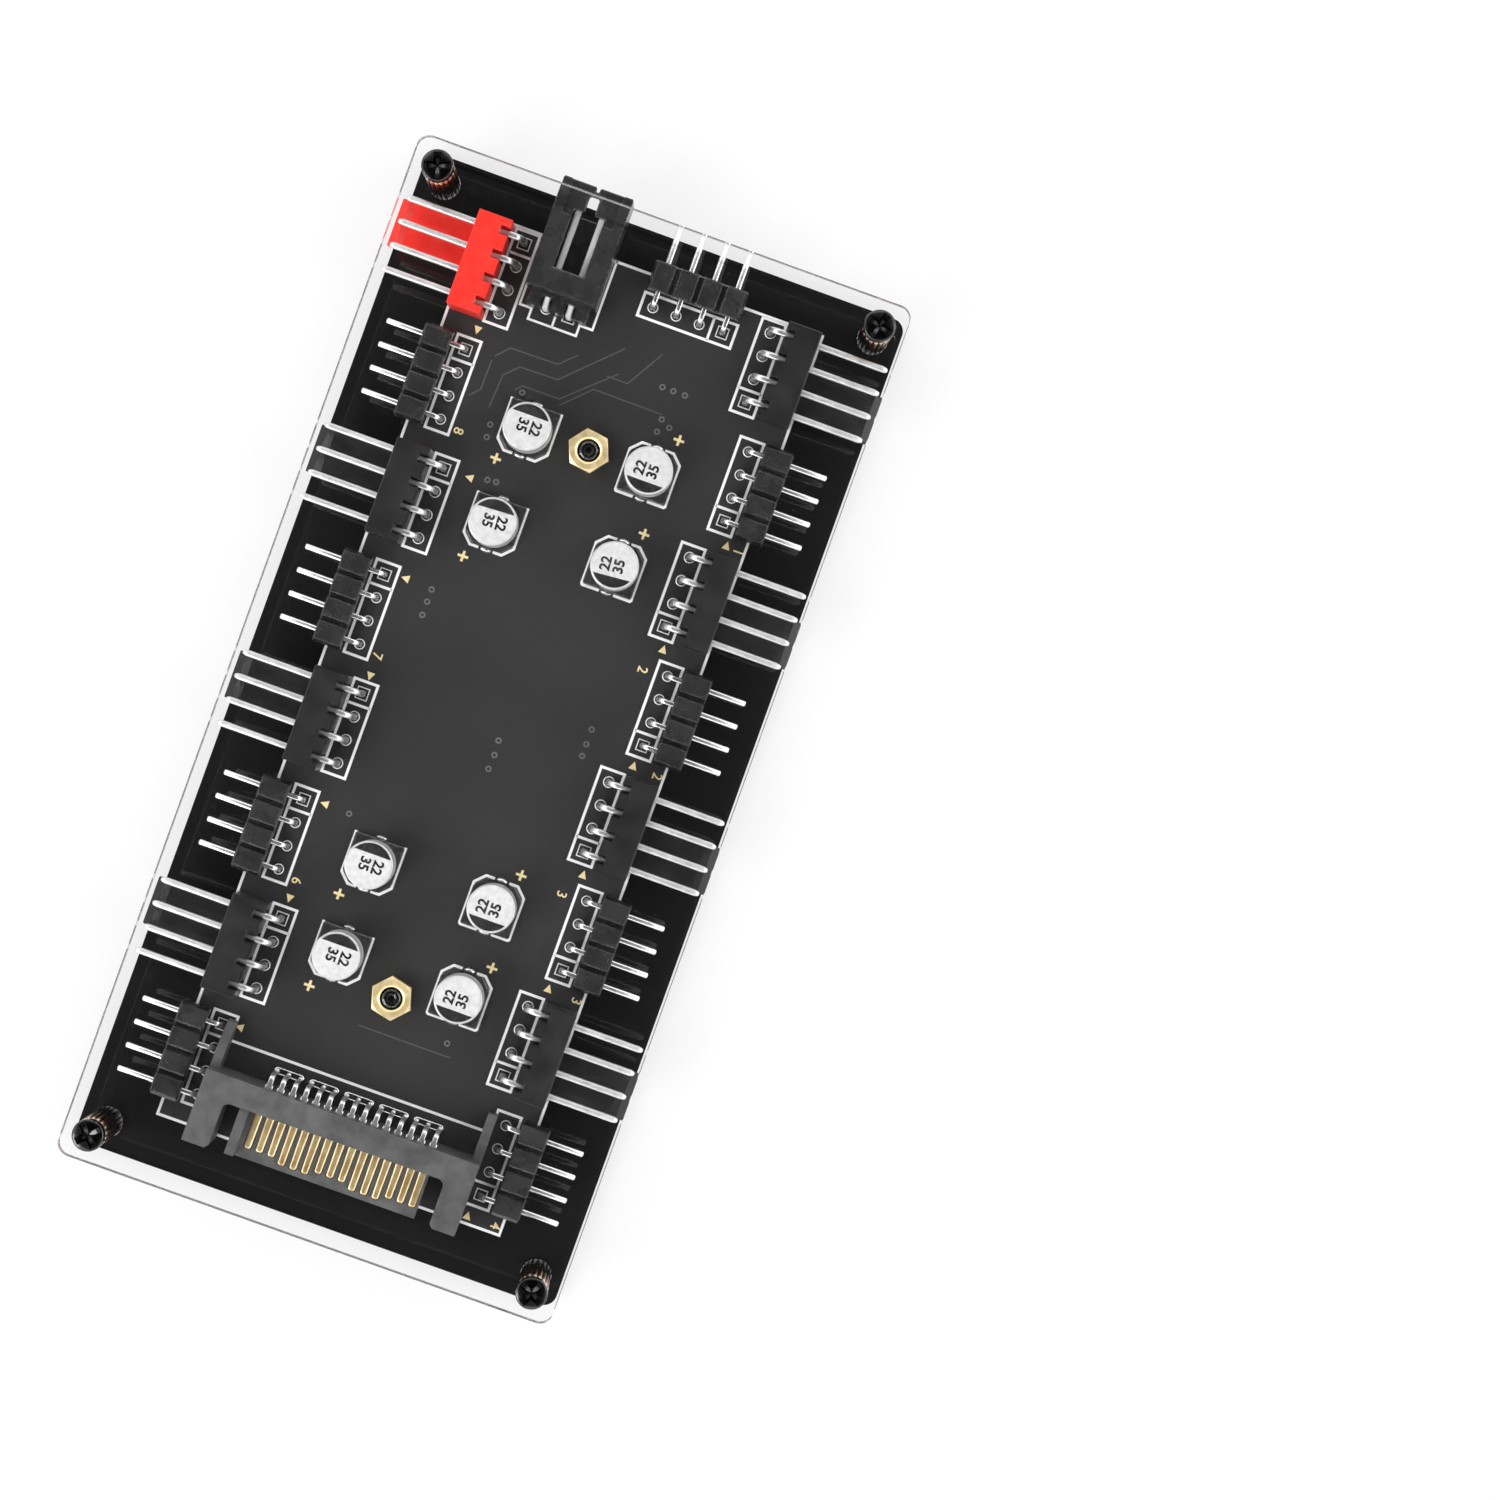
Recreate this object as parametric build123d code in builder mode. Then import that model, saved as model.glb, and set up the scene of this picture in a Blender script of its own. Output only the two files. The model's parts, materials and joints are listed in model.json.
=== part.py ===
from build123d import *
import os
from math import cos, pi, sin, sqrt

# A hub for case fans and their lights: a circuit board with right-angle pin headers along both
# long edges, held between a black base plate and a clear cover plate. Millimetres. The origin is
# the centre of the base plate's underside, +Z points up and +Y points to the end with the inputs.

# Pin headers, both kinds
pin_pitch = 2.54
pins_per_header = 4
pin_clearance = 0.02  # between a pin and the square hole that holds it
pin_tail = 1.4  # how far a pin stands out below the board
pin_bend = 0.5  # how far a pin's slanted bend reaches along each leg
header_gap = 2.165  # between neighbouring headers along the board's edge

# Fan headers
fan_rows = 4
fan_pin_width = 0.66
fan_pin_height = 4.0  # pin centre above the board
fan_pin_reach = 7.55  # pin length outside the block
fan_pin_taper = 0.45
fan_pad_inset = 5.35  # solder pads, measured in from the board's edge
fan_block_depth = 3.6
fan_block_height = 6.0
fan_block_setback = 0.3  # block's front face, measured in from the board's edge
fan_notch_depth = 0.95  # back notches where the pins come out
fan_notch_width = 0.9
fan_latch_rise = 0.5  # underside of the latch plate above the board
fan_latch_thickness = 1.2
fan_latch_reach = 8.05
fan_latch_hook = 0.45  # height of the hook at the latch's tip
fan_latch_hook_length = 1.5
fan_latch_pitches = 2  # width of the latch plate in pin pitches

# Light headers
rgb_pin_width = 0.58
rgb_pin_reach = 3.95
rgb_pin_taper = 0.2
rgb_pad_inset = 3.35
rgb_block_depth = 3.0
rgb_block_height = 2.5
rgb_block_overhang = 1.23  # block's front face, measured out from the board's edge
rgb_cell_side = 0.3  # bevel between the cells of a block, across
rgb_cell_drop = 0.55  # and down
rgb_input_clearance = 3.09  # from the light input to the fan pins beside it

# Two-pin control input, a shrouded socket
control_clearance = 1.57  # from the shroud to the fan pins beside it
control_pins = 2
control_wall = 0.9
control_side = 1.58  # from an outer pin's centre to the inside of the shroud
control_height = 6.6
control_reach = 5.75  # shroud's mouth, measured out from the board's edge
control_depth = 11.65
control_back_wall = 1.5
control_pin_width = 0.66
control_pin_setback = 2.45  # pin tips, measured in from the mouth
control_slot_edge = 0.08  # slot in the roof: room beside the outer pins
control_slot_front = 2.95  # slot's near end, measured in from the mouth
control_slot_back = 2.4  # slot's far end, measured from the shroud's back
control_window_width = 1.05
control_window_front = 1.2
control_floor_slot = 2.0  # width of the slot in the floor, from the mouth to below the window
control_nick_width = 0.35  # nick in the roof's front edge
control_nick_depth = 0.5
control_lip_drop = 0.5  # lowered roof at the mouth
control_lip_width = 5.5
control_lip_depth = 3.7
control_shelf_depth = 1.7
control_shelf_height = 4.2
control_shelf_inset = 0.55  # shelf's end, measured in from the shroud's side
control_pad_setback = 1.3  # solder pads, measured back from the shroud's back
control_leg_room = 0.15  # beside a leg in its slot
control_leg_front = 0.85  # leg slot's front end, measured from the pad's centre

# Power input with a flat tongue
power_x = -0.3
power_contacts = 15
power_pitch = 1.27
power_side_clearance = 0.2  # from the wings to the light headers' pins
power_height = 6.6
power_bar_depth = 2.7
power_wing_width = 2.82
power_wing_length = 5.0  # in front of the bar
power_wing_reach = 0.65  # wing tips, measured out from the board's edge
power_wing_fillet = 0.7
power_wing_corner = 0.4
power_arm_width = 1.0
power_arm_length = 4.9  # behind the bar
power_arm_height = 3.6
power_arm_slope = 1.8
power_tongue_top = 4.4
power_tongue_thickness = 1.4
power_tongue_setback = 0.05  # tongue's end, measured in from the wing tips
power_key_width = 1.0
power_key_gap = 0.55  # between the key rib and the first contact
power_key_height = 1.6
power_tongue_side = 0.3  # from the last contact to the tongue's end
power_contact_width = 0.8
power_contact_thickness = 0.25
power_contact_proud = 0.1
power_contact_setback = 0.6  # long contacts, measured in from the tongue's end
power_contact_step = 0.5  # by how much the short contacts are shorter
power_contact_corner = 0.25
power_leg_width = 0.5
power_leg_back = 1.35  # solder pads, measured back from the bar
power_group = 3  # contacts of one length that lie together

# Capacitors
capacitor_x = 6.6
capacitor_rows = (29.9, 19.6, -17.6, -27.45)  # from the board's centre
capacitor_diameter = 5.0
capacitor_height = 5.4
capacitor_base_side = 5.3
capacitor_base_height = 0.9
capacitor_base_bevel = 1.1
capacitor_top_edge = 0.35
capacitor_lead_width = 0.65
capacitor_lead_thickness = 0.2
capacitor_lead_inner = 0.6
capacitor_lead_outer = 3.05

# Circuit board
board_width = 37.7
board_thickness = 1.6
board_head_margin = 0.4  # from the first header to the board's top edge
board_foot_margin = 2.17  # from the last header to the board's bottom edge

# Plates
plate_thickness = 2.0
cover_thickness = 2.0
plate_corner = 1.4
plate_side_margin = 7.65  # plates, measured out from the board's edges
plate_head_margin = 4.6
plate_foot_margin = 5.8
cover_clearance = 0.8  # above the tallest connector

# Fasteners
screw_diameter = 2.0
screw_thread_clearance = 0.025
screw_hole_clearance = 0.15
screw_inset = 2.8  # corner screws, measured in from the plates' edges
cover_screw_head = 3.3
cover_screw_head_height = 1.35
cover_screw_head_edge = 0.35
cover_screw_bite = 4.0  # thread inside the standoff
cross_width = 0.6
cross_length = 2.4
cross_depth = 0.75
cross_taper = 15
sunk_head = 3.8
sunk_recess = 0.1
sunk_clearance = 0.02
standoff_diameter = 3.2
standoff_ridges = 18
standoff_ridge_depth = 0.14
standoff_clearance = 0.02  # around a standoff in the base plate
board_screw_spacing = 59.9
nut_width = 4.0
nut_height = 1.6
nut_edge = 0.25
nut_screw_setback = 0.1  # screw's end below the nut's top
spacer_width = 4.0  # across its flats
spacer_height = 3.0

# Layout worked out from the sizes above
header_length = pins_per_header * pin_pitch
row_pitch = header_length + header_gap
board_length = (
    board_head_margin + board_foot_margin + header_length + (2 * fan_rows - 1) * row_pitch
)
plate_width = board_width + 2 * plate_side_margin
plate_length = board_length + plate_head_margin + plate_foot_margin
board_bottom = plate_thickness + spacer_height
board_top = board_bottom + board_thickness
board_head = plate_length / 2 - plate_head_margin
board_foot = board_head - board_length
board_middle = (board_head + board_foot) / 2
board_edge = board_width / 2
tallest = max(fan_block_height, rgb_block_height, control_height, power_height, capacitor_height)
cover_bottom = board_top + tallest + cover_clearance
cover_top = cover_bottom + cover_thickness
screw_hole = screw_diameter + 2 * screw_hole_clearance
thread_hole = screw_diameter + 2 * screw_thread_clearance
hole_spacing_x = plate_width - 2 * screw_inset
hole_spacing_y = plate_length - 2 * screw_inset
nut_top = board_top + nut_height
first_row = board_head - board_head_margin - header_length / 2

# Header frames: x points out over the board's edge, z = 0 is the board's top
right_turn = 0
left_turn = 180
head_turn = 90
fan_places = {}
rgb_places = {}
for row in range(fan_rows):
    fan_y = first_row - 2 * row * row_pitch
    rgb_y = fan_y - row_pitch
    for side, x, turn in (("left", -board_edge, left_turn), ("right", board_edge, right_turn)):
        place = f"{side}_{row + 1}"
        fan_places[f"fan_header_{place}"] = Location((x, fan_y, board_top), (0, 0, turn))
        rgb_places[f"rgb_header_{place}"] = Location((x, rgb_y, board_top), (0, 0, turn))

# Inputs at the top end: each keeps clear of the innermost fan pins on its side
fan_pin_inner_x = board_edge - fan_pad_inset - fan_pin_width / 2
rgb_input_x = fan_pin_inner_x - rgb_input_clearance - header_length / 2
rgb_places["rgb_input"] = Location((rgb_input_x, board_head, board_top), (0, 0, head_turn))
control_inside = (control_pins - 1) * pin_pitch + 2 * control_side
control_width = control_inside + 2 * control_wall
control_x = -fan_pin_inner_x + control_clearance + control_width / 2

# Control input frame: y points out over the board's top edge
control_place = Location((control_x, board_head, board_top))
control_mouth = control_reach
control_back = control_mouth - control_depth
control_pad_y = control_back - control_pad_setback
control_pin_height = control_height / 2

# Power input frame: y = 0 is the board's bottom edge, +y points in over the board
power_place = Location((power_x, board_foot, board_top))
rgb_pin_inner_x = board_edge - rgb_pad_inset - rgb_pin_width / 2
power_half = rgb_pin_inner_x - power_side_clearance - abs(power_x)
power_wing_tip = -power_wing_reach
power_bar_front = power_wing_tip + power_wing_length
power_bar_back = power_bar_front + power_bar_depth
power_tongue_end = power_wing_tip + power_tongue_setback
power_span = (power_contacts - 1) * power_pitch
power_tongue_left = -power_span / 2 - power_contact_width / 2 - power_key_gap - power_key_width
power_tongue_right = power_span / 2 + power_contact_width / 2 + power_tongue_side
power_contact_shift = -(power_tongue_left + power_tongue_right) / 2
power_contact_top = power_tongue_top + power_contact_proud
power_contact_z = power_contact_top - power_contact_thickness / 2
power_pad_y = power_bar_back + power_leg_back

through = 3 * plate_length  # longer than anything that a cut has to pass


def bent_pin(width, height, tip, pad, taper):
    """One square pin: from its pointed tip back over the board, then down through its pad."""
    with BuildPart() as pin:
        with BuildLine(Plane.XZ) as route:
            Polyline(
                (tip, height),
                (pad + pin_bend, height),
                (pad, height - pin_bend),
                (pad, -board_thickness - pin_tail),
            )
        with BuildSketch(Plane(origin=route.line @ 0, z_dir=route.line % 0)):
            Rectangle(width, width)
        sweep(transition=Transition.RIGHT)
        end = pin.faces().sort_by(Axis.X)[-1]
        chamfer(end.edges(), length=width / 4, length2=taper, reference=end)
    return pin.part


def pin_row(pin):
    """A header's pins, side by side along its edge."""
    with BuildPart() as row_of_pins:
        with GridLocations(0, pin_pitch, 1, pins_per_header):
            add(pin)
    return row_of_pins.part


def fan_pins():
    tip = fan_pin_reach - fan_block_setback
    return pin_row(bent_pin(fan_pin_width, fan_pin_height, tip, -fan_pad_inset, fan_pin_taper))


def rgb_pins():
    tip = rgb_pin_reach + rgb_block_overhang
    return pin_row(bent_pin(rgb_pin_width, rgb_block_height / 2, tip, -rgb_pad_inset, rgb_pin_taper))


def fan_housing():
    """A fan header's block, with notches behind its pins and a latch plate below them."""
    front = -fan_block_setback
    back = front - fan_block_depth
    latch_tip = front + fan_latch_reach
    latch_top = fan_latch_rise + fan_latch_thickness
    hook_start = latch_tip - fan_latch_hook_length
    hook_crest = latch_tip - fan_latch_hook_length / 2
    first_pin = -(pins_per_header - 1) / 2 * pin_pitch
    hole = fan_pin_width + 2 * pin_clearance
    with BuildPart() as housing:
        with BuildSketch():
            with Locations(((front + back) / 2, 0)):
                Rectangle(fan_block_depth, header_length)
            with Locations((back + fan_notch_depth / 2, 0)):
                with GridLocations(0, pin_pitch, 1, pins_per_header):
                    Rectangle(fan_notch_depth, fan_notch_width, mode=Mode.SUBTRACT)
        extrude(amount=fan_block_height)
        with BuildSketch(Plane.XZ.offset(-first_pin)):
            with BuildLine():
                Polyline(
                    (front, fan_latch_rise),
                    (latch_tip, fan_latch_rise),
                    (latch_tip, latch_top),
                    (hook_crest, latch_top + fan_latch_hook),
                    (hook_start, latch_top),
                    (front, latch_top),
                    close=True,
                )
            make_face()
        extrude(amount=-fan_latch_pitches * pin_pitch)
        with Locations(((front + back) / 2, 0, fan_pin_height)):
            with GridLocations(0, pin_pitch, 1, pins_per_header):
                Box(2 * fan_block_depth, hole, hole, mode=Mode.SUBTRACT)
    return housing.part


def rgb_housing():
    """A light header's strip of bevelled cells, one for each pin."""
    front = rgb_block_overhang
    half = pin_pitch / 2
    hole = rgb_pin_width + 2 * pin_clearance
    with BuildPart() as housing:
        with BuildSketch(Plane.YZ.offset(front)):
            with GridLocations(pin_pitch, 0, pins_per_header, 1):
                Polygon(
                    (-half, rgb_cell_drop),
                    (-half + rgb_cell_side, 0),
                    (half - rgb_cell_side, 0),
                    (half, rgb_cell_drop),
                    (half, rgb_block_height - rgb_cell_drop),
                    (half - rgb_cell_side, rgb_block_height),
                    (-half + rgb_cell_side, rgb_block_height),
                    (-half, rgb_block_height - rgb_cell_drop),
                    align=None,
                )
        extrude(amount=-rgb_block_depth)
        with Locations((front, 0, rgb_block_height / 2)):
            with GridLocations(0, pin_pitch, 1, pins_per_header):
                Box(3 * rgb_block_depth, hole, hole, mode=Mode.SUBTRACT)
    return housing.part


def control_housing():
    """The control input's shroud: open at its mouth, slotted in roof and floor, with a shelf behind."""
    slot_width = (control_pins - 1) * pin_pitch + control_pin_width + 2 * control_slot_edge
    slot_near = control_mouth - control_slot_front
    slot_far = control_back + control_slot_back
    cavity_back = control_back + control_back_wall
    roof = control_height - control_wall
    hole = control_pin_width + 2 * pin_clearance
    leg_room = control_pin_width + 2 * control_leg_room
    shelf_width = control_width - 2 * control_shelf_inset
    with BuildPart() as housing:
        with Locations((0, control_back, 0)):
            Box(control_width, control_depth, control_height, align=(Align.CENTER, Align.MIN, Align.MIN))
            Box(
                shelf_width,
                control_shelf_depth,
                control_shelf_height,
                align=(Align.CENTER, Align.MAX, Align.MIN),
            )
        with Locations((0, cavity_back, control_wall)):
            Box(
                control_inside,
                control_depth,
                control_height - 2 * control_wall,
                align=(Align.CENTER, Align.MIN, Align.MIN),
                mode=Mode.SUBTRACT,
            )
        with Locations((0, (slot_near + slot_far) / 2, roof)):
            Box(
                slot_width,
                slot_near - slot_far,
                2 * control_wall,
                align=(Align.CENTER, Align.CENTER, Align.MIN),
                mode=Mode.SUBTRACT,
            )
        with Locations((0, control_mouth - control_window_front, roof)):
            Box(
                control_window_width,
                control_slot_front - control_window_front,
                2 * control_wall,
                align=(Align.CENTER, Align.MAX, Align.MIN),
                mode=Mode.SUBTRACT,
            )
        with Locations((0, control_mouth, roof)):
            Box(
                control_nick_width,
                2 * control_nick_depth,
                2 * control_wall,
                align=(Align.CENTER, Align.CENTER, Align.MIN),
                mode=Mode.SUBTRACT,
            )
        with Locations((0, control_mouth, control_height)):
            Box(control_lip_width, 2 * control_lip_depth, 2 * control_lip_drop, mode=Mode.SUBTRACT)
        with Locations((0, control_mouth, 0)):
            Box(control_floor_slot, 2 * control_slot_front, 2 * control_wall, mode=Mode.SUBTRACT)
        with Locations((0, control_back, control_pin_height)):
            with GridLocations(pin_pitch, 0, control_pins, 1):
                Box(hole, 4 * control_back_wall, hole, mode=Mode.SUBTRACT)
        with Locations((0, control_pad_y + control_leg_front, 0)):
            with GridLocations(pin_pitch, 0, control_pins, 1):
                Box(
                    leg_room,
                    2 * control_shelf_depth,
                    through,
                    align=(Align.CENTER, Align.MAX, Align.CENTER),
                    mode=Mode.SUBTRACT,
                )
    return housing.part


def control_pins_pair():
    """The control input's two pins, turned so that they point out of the shroud's mouth."""
    tip = control_mouth - control_pin_setback
    pin = bent_pin(control_pin_width, control_pin_height, tip, control_pad_y, fan_pin_taper)
    with BuildPart() as pair:
        with GridLocations(pin_pitch, 0, control_pins, 1):
            with Locations(Location((0, 0, 0), (0, 0, head_turn))):
                add(pin)
    return pair.part


def contact_places():
    """Each power contact's x and the y of its end: groups of short and long ones in turn."""
    for index in range(power_contacts):
        is_long = index // power_group % 2 == 1
        end = power_tongue_end + power_contact_setback + (0 if is_long else power_contact_step)
        yield power_contact_shift - power_span / 2 + index * power_pitch, end


def power_contact(end):
    """One flat contact: its blade lies on the tongue, its leg runs through the bar and down."""
    with BuildPart() as contact:
        with BuildSketch(Plane.XY.offset(power_contact_top)) as blade:
            with Locations((0, end)):
                Rectangle(power_contact_width, power_bar_front - end, align=(Align.CENTER, Align.MIN))
            chamfer(blade.vertices().group_by(Axis.Y)[0], length=power_contact_corner)
        extrude(amount=-power_contact_thickness)
        with BuildLine(Plane.YZ) as route:
            Polyline(
                (power_bar_front - power_contact_width, power_contact_z),
                (power_pad_y - pin_bend, power_contact_z),
                (power_pad_y, power_contact_z - pin_bend),
                (power_pad_y, -board_thickness - pin_tail),
            )
        with BuildSketch(Plane(origin=route.line @ 0, x_dir=(1, 0, 0), z_dir=route.line % 0)):
            Rectangle(power_leg_width, power_contact_thickness)
        sweep(transition=Transition.RIGHT)
    return contact.part


def power_contact_set():
    with BuildPart() as contacts:
        for x, end in contact_places():
            with Locations((x, 0, 0)):
                add(power_contact(end))
    return contacts.part


def power_housing():
    """The power input: a bar with wings and arms, and a tongue with a key rib between the wings."""
    groove = power_contact_width + 2 * pin_clearance
    slot = power_leg_width + 2 * pin_clearance
    slot_height = power_contact_thickness + 2 * pin_clearance
    groove_floor = power_contact_top - power_contact_thickness - pin_clearance
    tongue_left = power_tongue_left + power_contact_shift
    tongue_right = power_tongue_right + power_contact_shift
    tongue_length = power_bar_front - power_tongue_end
    wing_middle = power_half - power_wing_width / 2
    arm_middle = power_half - power_arm_width / 2
    arm_end = power_bar_back + power_arm_length
    with BuildPart() as housing:
        with BuildSketch() as plan:
            with Locations((0, power_bar_front)):
                Rectangle(2 * power_half, power_bar_depth, align=(Align.CENTER, Align.MIN))
            with Locations((-wing_middle, power_bar_front), (wing_middle, power_bar_front)):
                Rectangle(power_wing_width, power_wing_length, align=(Align.CENTER, Align.MAX))
            fillet(plan.vertices().group_by(Axis.Y)[1], radius=power_wing_fillet)
            chamfer(plan.vertices().group_by(Axis.Y)[0].sort_by(Axis.X)[1:3], length=power_wing_corner)
        extrude(amount=power_height)
        for x in (-arm_middle, arm_middle):
            with BuildSketch(Plane.YZ.offset(x)):
                with BuildLine():
                    Polyline(
                        (power_bar_back, 0),
                        (arm_end, 0),
                        (arm_end, power_arm_height - power_arm_slope),
                        (power_bar_back + power_arm_slope, power_arm_height),
                        (power_bar_back, power_arm_height),
                        close=True,
                    )
                make_face()
            extrude(amount=power_arm_width / 2, both=True)
        with Locations((tongue_left, power_tongue_end, power_tongue_top)):
            Box(
                tongue_right - tongue_left,
                tongue_length,
                power_tongue_thickness,
                align=(Align.MIN, Align.MIN, Align.MAX),
            )
            Box(
                power_key_width,
                tongue_length,
                power_key_height,
                align=(Align.MIN, Align.MIN, Align.MIN),
            )
        for x, end in contact_places():
            with Locations((x, end - pin_clearance, groove_floor)):
                Box(
                    groove,
                    power_bar_front - end + pin_clearance,
                    power_contact_thickness,
                    align=(Align.CENTER, Align.MIN, Align.MIN),
                    mode=Mode.SUBTRACT,
                )
            with Locations((x, power_bar_front, power_contact_z)):
                Box(
                    slot,
                    2 * power_bar_depth,
                    slot_height,
                    align=(Align.CENTER, Align.MIN, Align.CENTER),
                    mode=Mode.SUBTRACT,
                )
    return housing.part


def capacitor_can():
    """A drawn aluminium can with a bevelled top edge."""
    radius = capacitor_diameter / 2
    height = capacitor_height - capacitor_base_height
    with BuildPart() as can:
        with BuildSketch(Plane.XZ):
            with BuildLine():
                Polyline(
                    (0, 0),
                    (radius, 0),
                    (radius, height - capacitor_top_edge),
                    (radius - capacitor_top_edge, height),
                    (0, height),
                    close=True,
                )
            make_face()
        revolve(axis=Axis.Z)
    return can.part


def capacitor_leads():
    """Two flat leads on the board, one to each end of the base."""
    reach = capacitor_lead_outer - capacitor_lead_inner
    middle = (capacitor_lead_outer + capacitor_lead_inner) / 2
    with BuildPart() as leads:
        with GridLocations(0, 2 * middle, 1, 2):
            Box(
                capacitor_lead_width,
                reach,
                capacitor_lead_thickness,
                align=(Align.CENTER, Align.CENTER, Align.MIN),
            )
    return leads.part


def capacitor_base():
    """A square plastic base, bevelled at two corners, with slots below for the leads."""
    with BuildPart() as base:
        with BuildSketch() as outline:
            Rectangle(capacitor_base_side, capacitor_base_side)
            chamfer(outline.vertices().group_by(Axis.Y)[0], length=capacitor_base_bevel)
        extrude(amount=capacitor_base_height)
        Box(
            capacitor_lead_width + 2 * pin_clearance,
            2 * capacitor_base_side,
            2 * (capacitor_lead_thickness + pin_clearance),
            mode=Mode.SUBTRACT,
        )
    return base.part


def cross_recess(depth):
    """The cross that a driver goes into, cut down from z = 0."""
    with BuildPart() as cross:
        with BuildSketch():
            Rectangle(cross_length, cross_width)
            Rectangle(cross_width, cross_length)
        extrude(amount=-depth, taper=cross_taper)
    return cross.part


def cover_screw():
    """A pan-head screw, standing with its head's seat at z = 0."""
    with BuildPart() as screw:
        Cylinder(
            cover_screw_head / 2,
            cover_screw_head_height,
            align=(Align.CENTER, Align.CENTER, Align.MIN),
        )
        chamfer(screw.edges().group_by(Axis.Z)[-1], length=cover_screw_head_edge)
        Cylinder(
            screw_diameter / 2,
            cover_thickness + cover_screw_bite,
            align=(Align.CENTER, Align.CENTER, Align.MAX),
        )
        with Locations((0, 0, cover_screw_head_height)):
            add(cross_recess(cross_depth), mode=Mode.SUBTRACT)
    return screw.part


def sunk_screw():
    """A countersunk screw, pointing up, with its head's flat face at z = 0."""
    shank = nut_top - nut_screw_setback - sunk_recess
    with BuildPart() as screw:
        with BuildSketch(Plane.XZ):
            with BuildLine():
                Polyline(
                    (0, 0),
                    (sunk_head / 2, 0),
                    (screw_diameter / 2, sunk_head / 2 - screw_diameter / 2),
                    (screw_diameter / 2, shank),
                    (0, shank),
                    close=True,
                )
            make_face()
        revolve(axis=Axis.Z)
        with Locations(Location((0, 0, 0), (180, 0, 0))):
            add(cross_recess(cross_depth), mode=Mode.SUBTRACT)
    return screw.part


def standoff():
    """A brass pillar, ridged along its length and threaded right through, pressed into the base."""
    outer = standoff_diameter / 2
    inner = outer - standoff_ridge_depth
    step = pi / standoff_ridges
    points = []
    for ridge in range(standoff_ridges):
        crest = 2 * ridge * step
        points.append((outer * cos(crest), outer * sin(crest)))
        points.append((inner * cos(crest + step), inner * sin(crest + step)))
    with BuildPart() as pillar:
        with BuildSketch():
            Polygon(*points, align=None)
            Circle(thread_hole / 2, mode=Mode.SUBTRACT)
        extrude(amount=cover_bottom)
    return pillar.part


def hexagon_nut():
    """A hexagon nut with its corners turned off at the top."""
    corner = nut_width / sqrt(3)
    with BuildPart() as nut:
        with BuildSketch():
            RegularPolygon(corner, 6)
            Circle(thread_hole / 2, mode=Mode.SUBTRACT)
        extrude(amount=nut_height)
        with BuildSketch(Plane.XZ):
            with BuildLine():
                Polyline(
                    (0, 0),
                    (corner, 0),
                    (corner, nut_height - nut_edge),
                    (corner - nut_edge, nut_height),
                    (0, nut_height),
                    close=True,
                )
            make_face()
        revolve(axis=Axis.Z, mode=Mode.INTERSECT)
    return nut.part


def write(piece, name):
    piece.label = name
    export_step(piece, f"parts/{name}.step")


os.makedirs("parts", exist_ok=True)

# Base plate, with a hole for each standoff and a countersunk one for each board screw
sink_radius = sunk_head / 2 + sunk_recess + sunk_clearance
with BuildPart() as base_plate:
    with BuildSketch():
        RectangleRounded(plate_width, plate_length, plate_corner)
        with GridLocations(hole_spacing_x, hole_spacing_y, 2, 2):
            Circle(standoff_diameter / 2 + standoff_clearance, mode=Mode.SUBTRACT)
    extrude(amount=plate_thickness)
    with Locations(Plane(origin=(0, board_middle, 0), x_dir=(1, 0, 0), z_dir=(0, 0, -1))):
        with GridLocations(0, board_screw_spacing, 1, 2):
            CounterSinkHole(screw_hole / 2, sink_radius, counter_sink_angle=90)
write(base_plate.part, "base_plate")

# Cover plate
with BuildPart() as cover_plate:
    with BuildSketch(Plane.XY.offset(cover_bottom)):
        RectangleRounded(plate_width, plate_length, plate_corner)
        with GridLocations(hole_spacing_x, hole_spacing_y, 2, 2):
            Circle(screw_hole / 2, mode=Mode.SUBTRACT)
    extrude(amount=cover_thickness)
write(cover_plate.part, "cover_plate")

# Circuit board, with a hole for each pin, for each power leg and for its two screws
with BuildPart() as circuit_board:
    with BuildSketch(Plane.XY.offset(board_bottom)):
        with Locations((0, board_middle)):
            Rectangle(board_width, board_length)
            with GridLocations(0, board_screw_spacing, 1, 2):
                Circle(screw_hole / 2, mode=Mode.SUBTRACT)
    extrude(amount=board_thickness)
    for places, inset, width in (
        (fan_places, fan_pad_inset, fan_pin_width),
        (rgb_places, rgb_pad_inset, rgb_pin_width),
    ):
        hole = width + 2 * pin_clearance
        with Locations(*places.values()):
            with Locations((-inset, 0, 0)):
                with GridLocations(0, pin_pitch, 1, pins_per_header):
                    Box(hole, hole, 3 * board_thickness, mode=Mode.SUBTRACT)
    with Locations(control_place):
        with Locations((0, control_pad_y, 0)):
            with GridLocations(pin_pitch, 0, control_pins, 1):
                hole = control_pin_width + 2 * pin_clearance
                Box(hole, hole, 3 * board_thickness, mode=Mode.SUBTRACT)
    with Locations(power_place):
        with Locations((power_contact_shift, power_pad_y, 0)):
            with GridLocations(power_pitch, 0, power_contacts, 1):
                Box(
                    power_leg_width + 2 * pin_clearance,
                    power_contact_thickness + 2 * pin_clearance,
                    3 * board_thickness,
                    mode=Mode.SUBTRACT,
                )
write(circuit_board.part, "circuit_board")

# Standoffs and screws at the corners, and the screws, spacers and nuts that hold the board
with BuildPart() as corner_standoffs:
    with GridLocations(hole_spacing_x, hole_spacing_y, 2, 2):
        add(standoff())
write(corner_standoffs.part, "corner_standoffs")

with BuildPart() as cover_screws:
    with Locations((0, 0, cover_top)):
        with GridLocations(hole_spacing_x, hole_spacing_y, 2, 2):
            add(cover_screw())
write(cover_screws.part, "cover_screws")

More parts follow.
